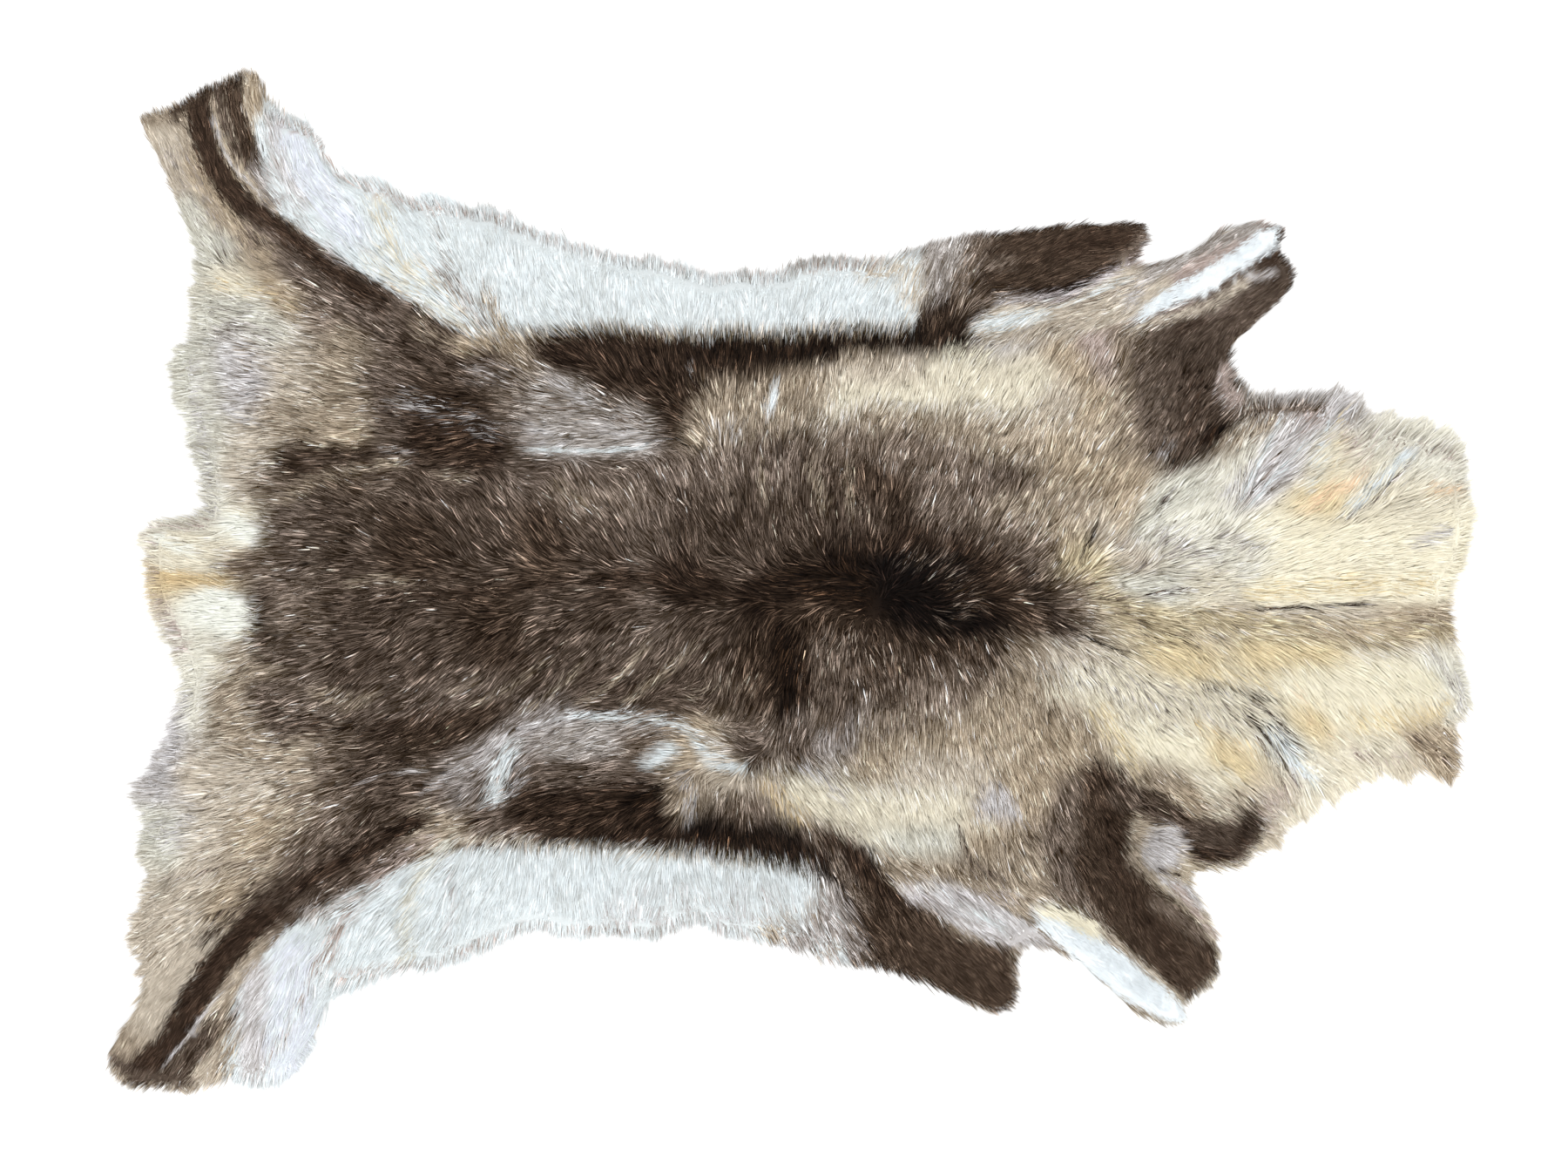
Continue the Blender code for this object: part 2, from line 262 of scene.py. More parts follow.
# %% The comb strokes
# Each row is one stroke, from x, y to x, y in pixels.
COMBS = (
    # tail and rump
    (290, 622, 190, 622), (280, 655, 185, 650), (300, 600, 225, 585), (300, 700, 200, 705),
    (300, 745, 205, 770), (310, 790, 200, 830),
    # upper haunch and hind leg
    (330, 545, 225, 540), (380, 490, 230, 488), (360, 430, 222, 420), (320, 375, 235, 365),
    (340, 340, 240, 310), (470, 420, 400, 400), (450, 370, 370, 320), (262, 290, 205, 205),
    (205, 205, 172, 130), (340, 285, 262, 215), (255, 205, 222, 100), (285, 180, 268, 90),
    (400, 270, 320, 190), (330, 200, 318, 130), (500, 352, 420, 292), (430, 270, 385, 205),
    # upper belly
    (548, 378, 480, 330), (548, 372, 490, 285), (555, 365, 535, 275), (590, 380, 585, 290),
    (470, 290, 440, 225), (700, 378, 695, 300), (800, 380, 800, 320), (900, 382, 905, 320),
    (1000, 370, 1020, 312), (1080, 380, 1110, 300), (1140, 320, 1220, 280),
    (1220, 300, 1310, 270), (1130, 375, 1230, 335), (1230, 345, 1330, 300),
    # upper foreleg
    (1290, 365, 1460, 268), (1330, 320, 1425, 262), (1380, 370, 1470, 300),
    (1300, 450, 1385, 350), (1350, 510, 1400, 400), (1390, 460, 1432, 420),
    # upper flank and its whorl
    (640, 430, 590, 385), (730, 440, 690, 385), (790, 440, 775, 388), (850, 470, 858, 400),
    (935, 480, 950, 400), (1040, 490, 1065, 405), (1140, 490, 1180, 405),
    (1220, 510, 1275, 410), (740, 482, 600, 470), (750, 500, 640, 522), (580, 480, 450, 470),
    (600, 520, 440, 540), (740, 465, 640, 425), (560, 430, 490, 405),
    # back above the spine
    (400, 600, 330, 585), (470, 620, 400, 575), (540, 620, 480, 555), (620, 630, 570, 555),
    (710, 630, 665, 550), (795, 640, 765, 550), (880, 640, 870, 550), (975, 640, 985, 550),
    (1070, 620, 1095, 540), (1140, 640, 1180, 560), (1020, 680, 1060, 640),
    (1100, 690, 1160, 650),
    # spine
    (440, 672, 340, 672), (600, 678, 500, 682), (740, 672, 650, 672), (880, 672, 830, 662),
    (1004, 674, 915, 678),
    # back below the spine
    (420, 720, 330, 735), (480, 720, 410, 775), (590, 730, 520, 790), (690, 730, 620, 800),
    (790, 730, 735, 805), (870, 720, 840, 810), (940, 720, 935, 820), (1035, 740, 1045, 840),
    (1120, 750, 1145, 850), (1190, 750, 1230, 850), (1030, 690, 1060, 730),
    (1120, 690, 1180, 730),
    # lower flank and its whorl
    (840, 850, 790, 822), (780, 822, 680, 818), (680, 822, 590, 850), (590, 850, 555, 915),
    (830, 872, 740, 868), (740, 890, 650, 895), (680, 920, 600, 935), (560, 880, 450, 895),
    (560, 930, 470, 960), (805, 895, 795, 965), (760, 930, 720, 970), (870, 895, 885, 965),
    (930, 880, 985, 970), (1040, 890, 1070, 980), (1110, 900, 1140, 990),
    (1190, 900, 1230, 1000),
    # lower haunch and hind leg
    (370, 800, 240, 830), (400, 860, 200, 880), (380, 920, 200, 960), (420, 940, 300, 1020),
    (260, 990, 180, 1040), (260, 1060, 170, 1150), (190, 1140, 140, 1210),
    (340, 1030, 230, 1130), (230, 1140, 160, 1230), (280, 1150, 215, 1235),
    (360, 1050, 290, 1160), (340, 1120, 310, 1230), (400, 1080, 360, 1180),
    # lower belly
    (500, 975, 410, 1030), (510, 985, 440, 1090), (540, 985, 500, 1080), (610, 985, 598, 1070),
    (700, 985, 700, 1065), (800, 985, 812, 1065), (900, 1000, 925, 1075),
    (980, 1000, 1030, 1090), (1040, 1070, 1110, 1130), (1090, 1100, 1160, 1150),
    (1040, 1000, 1110, 1070), (1120, 1010, 1190, 1090),
    # lower foreleg
    (1240, 890, 1280, 980), (1270, 980, 1320, 1070), (1320, 1050, 1395, 1130),
    (1200, 1045, 1350, 1165), (1310, 960, 1360, 975), (1320, 1000, 1375, 1045),
    (1350, 925, 1440, 980), (1370, 880, 1450, 935),
    # neck
    (1235, 640, 1270, 570), (1310, 640, 1370, 570), (1260, 680, 1350, 665),
    (1370, 650, 1450, 625), (1413, 577, 1440, 480), (1418, 580, 1495, 479),
    (1425, 585, 1525, 530), (1545, 590, 1625, 512), (1620, 560, 1680, 530),
    (1560, 500, 1600, 470), (1500, 640, 1600, 615), (1600, 640, 1690, 630),
    (1470, 690, 1570, 675), (1470, 700, 1540, 735), (1580, 690, 1670, 700),
    (1270, 720, 1340, 760), (1370, 750, 1440, 800), (1270, 780, 1320, 860),
    (1350, 830, 1410, 900), (1480, 770, 1540, 840), (1580, 770, 1640, 830),
    (1650, 750, 1685, 800), (1440, 828, 1485, 905), (1445, 825, 1530, 885),
    (1560, 850, 1600, 890), (1625, 845, 1668, 885),
)
COMB_REACH = 14.0
COMB_FALL = 2.0


def comb_out():
    """The way the hair points at each point of the net, and how surely, from 0 to 1."""
    at = pixels(net)
    lie, total = np.zeros((len(net), 2)), np.zeros(len(net))
    for stroke in COMBS:
        start, end = stroke[:2], stroke[2:]
        way = np.subtract(end, start) * (1.0, -1.0)
        distance = line_distance(at, (start, end))
        weight = 1 / (distance ** 2 + COMB_REACH ** 2) ** COMB_FALL
        lie += weight[:, None] * way / np.hypot(*way)
        total += weight
    strength = np.maximum(np.hypot(*lie.T), TINY)
    return lie / strength[:, None], strength / total


lie_net, calm_net = comb_out()
print(len(COMBS), "comb strokes")

# %% [markdown]
# ## The coat's colours
#
# A reindeer's coat is a map of its own: an umber saddle, tan haunches and shoulders,
# a cream neck, snow white bellies with a black-brown line above them, which is partly
# painted shadow where the flank hair overhangs the belly. A painter would
# first dab the ground on, place by place, in the coat's few colours, and we do the
# same: between the dabs the colours run into one another, so a short table gives a
# soft ground everywhere. Colours mix as their square roots, close to how the eye sees
# them, or the dark ones would be lost.

# %% The palette
COLOURS = {
    "snow": (227, 233, 236),
    "milk": (233, 234, 225),
    "white": (210, 216, 217),
    "cool white": (212, 215, 223),
    "ivory": (233, 227, 206),
    "cream": (217, 210, 191),
    "ash cream": (202, 200, 188),
    "pearl": (220, 217, 204),
    "straw": (216, 200, 163),
    "gold": (205, 182, 140),
    "orange tan": (232, 204, 172),
    "pale tan": (189, 178, 162),
    "dun": (186, 172, 142),
    "sand": (172, 156, 134),
    "tan": (156, 142, 124),
    "roan": (163, 156, 150),
    "brown": (120, 106, 94),
    "fawn": (102, 89, 79),
    "saddle": (84, 71, 61),
    "peat": (70, 56, 45),
    "umber": (57, 43, 33),
    "black brown": (34, 22, 13),
    "black": (20, 12, 8),
    "grey": (148, 140, 135),
    "silver": (190, 186, 185),
    "lilac": (182, 174, 174),
    "rose grey": (178, 162, 154),
}


def linear(name):
    """A palette colour as the light it gives back, by the rule that screens follow."""
    value = np.array(COLOURS[name]) / 255
    return np.where(value <= 0.04045, value / 12.92, ((value + 0.055) / 1.055) ** 2.4)


def smooth(value):
    """0 below 0, 1 above 1, and an even S between."""
    value = np.clip(value, 0, 1)
    return value * value * (3 - 2 * value)


def half_way(inward, edge):
    """How far over a soft edge a place is: a half on the line, 1 well inside it."""
    return smooth(0.5 + inward / edge)


# %% The coat's ground, dabbed on from place to place
# Each row is a colour and its dabs. A dab is a run of points in pixels.
DABS = (
    # upper hind leg and haunch
    ("tan", ((164, 138), (200, 118)), ((396, 390), (384, 430), (390, 460))),
    ("pale tan", ((178, 152), (200, 205)), ((330, 420), (330, 470), (300, 510)),
     ((265, 545), (285, 562))),
    ("ash cream", ((214, 240), (228, 285), (254, 280)), ((252, 352), (290, 352), (310, 380)),
     ((212, 420), (220, 470), (236, 540))),
    ("sand", ((222, 190), (262, 250), (300, 290)), ((300, 320), (330, 345)),
     ((380, 485), (405, 500))),
    ("fawn", ((330, 300), (380, 330), (440, 365)), ((440, 440), (450, 480), (440, 520)),
     ((555, 425), (590, 430))),
    ("cream", ((262, 325), (290, 330))),
    ("brown", ((366, 346), (376, 362))),
    ("silver", ((280, 410), (288, 440))),
    ("peat", ((335, 528), (420, 527)), ((500, 455), (540, 465))),
    ("saddle", ((470, 390), (510, 420), (530, 440))),
    ("umber", ((480, 500), (530, 505), (560, 515))),
    # rump and tail
    ("pearl", ((250, 560), (250, 590)), ((185, 620), (240, 632)), ((230, 750), (228, 775)),
     ((225, 792), (215, 815))),
    ("ivory", ((272, 600), (276, 616))),
    ("sand", ((258, 645), (268, 645))),
    ("gold", ((200, 652), (245, 660))),
    ("brown", ((284, 645), (310, 660))),
    ("milk", ((232, 695), (270, 710))),
    ("tan", ((282, 756), (266, 790))),
    ("fawn", ((324, 748), (328, 784)), ((300, 800), (310, 835), (340, 830))),
    # saddle
    ("fawn", ((330, 590), (325, 640), (322, 672)), ((738, 600), (730, 650), (754, 714)),
     ((1066, 562), (1090, 596))),
    ("brown", ((322, 676), (345, 712)), ((650, 565), (720, 575)), ((1150, 600), (1190, 630)),
     ((1100, 780), (1060, 830), (1010, 850))),
    ("saddle", ((380, 596), (400, 640), (400, 720), (400, 770)), ((470, 700), (480, 770)),
     ((468, 564), (550, 560), (550, 600), (560, 640)), ((632, 698), (620, 770)),
     ((700, 600), (690, 640)), ((675, 796), (740, 795), (770, 790)), ((800, 590), (828, 604)),
     ((850, 590), (826, 636), (862, 636), (820, 700)),
     ((800, 742), (830, 740), (826, 786), (780, 806)), ((880, 575), (900, 604)),
     ((935, 575), (938, 604)), ((990, 596), (1010, 606)), ((950, 760), (960, 820)),
     ((1176, 668), (1215, 706), (1225, 722))),
    ("peat", ((470, 605), (470, 640)), ((620, 600), (620, 650)), ((560, 700), (572, 745)),
     ((862, 745), (860, 800)), ((920, 700), (960, 710)), ((990, 540), (1030, 560)),
     ((1010, 750), (1020, 780)), ((1148, 634), (1150, 662), (1174, 696), (1184, 716)),
     ((1080, 748), (1125, 746))),
    ("umber", ((720, 662), (750, 666), (885, 684)), ((1000, 618), (1060, 620), (1110, 632))),
    ("black brown", ((900, 745), (912, 785)), ((860, 678), (920, 674), (985, 680), (972, 642)),
     ((1120, 676), (1130, 700))),
    # Black at the withers: partly dark hair, partly painted shadow in its crevices.
    ("black", ((1020, 645), (1060, 650), (1096, 656)),
     ((1022, 672), (1050, 692), (1090, 710), (1122, 712))),
    ("tan", ((1150, 580), (1200, 590), (1225, 580)), ((1252, 570), (1236, 582)),
     ((1188, 748), (1196, 775), (1170, 795))),
    ("pale tan", ((1272, 608), (1304, 646))),
    ("sand", ((1286, 570), (1290, 600)), ((1182, 786), (1150, 820))),
    # upper flank
    ("umber", ((640, 402), (720, 405), (790, 410))),
    ("peat", ((690, 425), (750, 430)), ((770, 440), (772, 488))),
    # The upper flank line's ground: the coat's own dark colour, deepened as painted shadow of
    # the flank hair over the belly.
    ("black brown", ((830, 398), (900, 400), (950, 392), (1090, 388))),
    ("roan", ((610, 445), (660, 455), (650, 490), (730, 490)),
     ((620, 502), (660, 510), (730, 510))),
    ("tan", ((590, 425), (600, 435)), ((815, 460), (838, 472), (800, 500)),
     ((905, 450), (925, 444)), ((966, 414), (1000, 406))),
    ("fawn", ((800, 536), (870, 532), (905, 534)), ((600, 548), (700, 540), (770, 540))),
    # upper shoulder
    ("pale tan", ((965, 424), (1040, 420)), ((1224, 462), (1228, 490))),
    ("cream", ((1080, 425), (1150, 450), (1190, 430)), ((972, 454), (1080, 455))),
    ("brown", ((1036, 500), (1100, 520)), ((980, 510), (1060, 525), (1110, 550))),
    ("tan", ((1000, 476), (1090, 496), (1180, 514)), ((1290, 400), (1288, 415)),
     ((1290, 452), (1290, 500))),
    ("sand", ((1212, 400), (1238, 420), (1262, 460), (1216, 506)),
     ((1232, 535), (1260, 550), (1300, 552))),
    ("fawn", ((1110, 555), (1160, 552))),
    ("rose grey", ((1250, 385), (1270, 420))),
    # upper foreleg and flap
    ("saddle", ((1320, 400), (1330, 450), (1335, 500))),
    ("umber", ((1370, 400), (1370, 450), (1385, 500)), ((1465, 295), (1480, 315)),
     ((1150, 290), (1220, 280), (1295, 270)), ((1085, 370), (1105, 352))),
    ("fawn", ((1420, 350), (1450, 320))),
    ("roan", ((1066, 320), (1090, 300))),
    ("silver", ((1135, 370), (1190, 375))),
    ("lilac", ((1210, 340), (1290, 315))),
    ("rose grey", ((1320, 305), (1380, 280), (1425, 258))),
    # neck
    ("dun", ((1238, 642), (1262, 655)), ((1250, 655), (1300, 700), (1340, 712))),
    ("brown", ((1234, 682), (1228, 695))),
    ("ash cream", ((1310, 608), (1330, 600)), ((1336, 574), (1362, 566)),
     ((1290, 670), (1340, 680))),
    ("pearl", ((1340, 600), (1390, 590), (1380, 620)), ((1396, 640), (1430, 650)),
     ((1425, 525), (1410, 545)), ((1590, 515), (1640, 525), (1680, 535)),
     ((1650, 760), (1670, 790)), ((1460, 845), (1500, 870))),
    ("cream", ((1400, 660), (1384, 684)), ((1525, 535), (1535, 505)),
     ((1560, 575), (1580, 540)), ((1632, 572), (1660, 575)), ((1236, 772), (1280, 790)),
     ((1250, 800), (1330, 800), (1360, 825)), ((1390, 815), (1425, 835)),
     ((1390, 788), (1452, 800)), ((1385, 890), (1400, 912)),
     ((1530, 854), (1580, 858), (1630, 854))),
    ("silver", ((1440, 560), (1470, 530)), ((1500, 480), (1540, 475))),
    ("straw", ((1500, 584), (1530, 570)), ((1340, 745), (1380, 765)),
     ((1440, 745), (1520, 748)), ((1500, 820), (1520, 845)), ((1400, 865), (1430, 890))),
    ("ivory", ((1460, 605), (1500, 600)), ((1500, 630), (1560, 620), (1620, 640), (1670, 600)),
     ((1450, 678), (1540, 676)), ((1600, 672), (1650, 676)),
     ((1500, 785), (1560, 780), (1620, 780)), ((1540, 825), (1600, 825)),
     ((1320, 855), (1370, 860))),
    ("pale tan", ((1400, 712), (1480, 718), (1560, 718)), ((1210, 752), (1240, 748)),
     ((1440, 902), (1452, 920))),
    ("sand", ((1610, 714), (1655, 712)), ((1362, 914), (1370, 920)),
     ((1630, 850), (1665, 875))),
    ("tan", ((1322, 892), (1340, 898))),
    # lower shoulder and flank
    ("sand", ((1180, 830), (1230, 850), (1190, 890)), ((1000, 870), (1050, 850), (1120, 850)),
     ((1145, 940), (1130, 960), (1180, 915)), ((790, 870), (795, 840))),
    ("tan", ((1200, 810), (1230, 820)), ((1050, 1000), (1090, 1000), (1150, 1004)),
     ((1150, 972), (1176, 1008)), ((775, 896), (784, 918)), ((490, 938), (520, 950))),
    ("pale tan", ((1050, 875), (1110, 880)), ((812, 866), (830, 885), (884, 896))),
    ("grey", ((950, 850), (975, 840)), ((525, 912), (530, 900)),
     ((540, 880), (580, 850), (640, 832))),
    ("fawn", ((915, 850), (918, 865)), ((1232, 925), (1228, 960), (1234, 1000)),
     ((860, 855), (870, 875)), ((620, 890), (690, 888), (745, 896)), ((470, 890), (500, 915)),
     ((440, 800), (440, 818), (560, 796)), ((555, 945), (560, 920))),
    ("cream", ((960, 925), (1020, 935), (1090, 930)), ((915, 905), (950, 925))),
    ("brown", ((936, 962), (968, 968)), ((864, 928), (850, 935)), ((735, 830), (735, 858))),
    ("ash cream", ((1020, 970), (1080, 965))),
    # The lower flank line's ground: the coat's own dark colour, deepened as painted shadow of
    # the flank hair over the belly.
    ("black", ((800, 956), (860, 962), (930, 978), (990, 996))),
    ("umber", ((1012, 1010), (1030, 1050))),
    ("roan", ((640, 856), (690, 852))),
    ("peat", ((600, 925), (680, 925), (660, 948)), ((455, 840), (500, 845), (560, 815))),
    ("black brown", ((720, 915), (745, 925), (750, 945))),
    ("saddle", ((420, 890), (470, 905), (440, 930))),
    # lower haunch and hind leg
    ("tan", ((262, 822), (292, 852), (322, 860), (250, 800)),
     ((340, 860), (350, 900), (340, 930)), ((292, 1000), (300, 985)),
     ((140, 1200), (125, 1225))),
    ("silver", ((188, 830), (180, 900))),
    ("pale tan", ((220, 890), (290, 900)), ((214, 1010), (226, 1045), (228, 976)),
     ((225, 1060), (235, 1080)), ((198, 1060), (196, 1104), (160, 1170))),
    ("ash cream", ((178, 950), (195, 976))),
    ("brown", ((370, 880), (385, 940), (350, 980))),
    ("saddle", ((430, 960), (390, 1000), (330, 1030))),
    ("sand", ((300, 950), (294, 966)), ((255, 1030), (245, 1050))),
)
DAB_REACH = 9.0
DAB_FALL = 2.0
MIX_POWER = 2


def dab_on():
    """The ground's colour at each point of the net, between the dabs."""
    at = pixels(net)
    colour, total = np.zeros((len(net), 3)), np.zeros(len(net))
    for name, *dabs in DABS:
        for dab in dabs:
            distance = line_distance(at, dab)
            weight = 1 / (distance ** 2 + DAB_REACH ** 2) ** DAB_FALL
            colour += weight[:, None] * linear(name) ** (1 / MIX_POWER)
            total += weight
    return (colour / total[:, None]) ** MIX_POWER


ground_net = dab_on()
print(sum(len(row) - 1 for row in DABS), "dabs in", len(COLOURS), "colours")

# %% [markdown]
# ## The markings
#
# Over the ground lie the markings: a closed patch, or a streak of some width along a
# line. Rows are laid one over the other, the bellies first. A marking's edge isn't
# blurred evenly. A strand takes the colour or not by its own chance, so two colours
# part along the hair, as they do on fur. Roan places, where white or dark hairs are
# mixed in, are rows with a small share.

# %% Bellies first, then the marks, region by region
# A row is its colour, the share of the hair that takes it, how soft its edge is, a
# streak's half width, or 0 for a closed patch, and its points. Lengths are pixels.
BELLIES = (
    ("white", 1, 12, 0, (302, 110), (350, 130), (400, 180), (560, 230), (720, 280), (860, 305),
     (1058, 285), (1060, 335), (1050, 374), (1020, 380), (975, 377), (932, 378), (906, 387),
     (850, 381), (800, 388), (770, 385), (735, 379), (700, 378), (620, 381), (545, 392),
     (500, 366), (430, 322), (370, 284), (318, 244), (290, 200), (290, 140)),
    ("white", 1, 14, 0, (250, 1250), (290, 1280), (420, 1180), (500, 1135), (700, 1105),
     (900, 1105), (975, 1110), (972, 1076), (966, 1044), (945, 1012), (905, 994), (860, 987),
     (800, 979), (740, 972), (640, 968), (560, 972), (500, 978), (440, 1004), (385, 1028),
     (334, 1064), (280, 1116), (255, 1170), (250, 1210)),
)

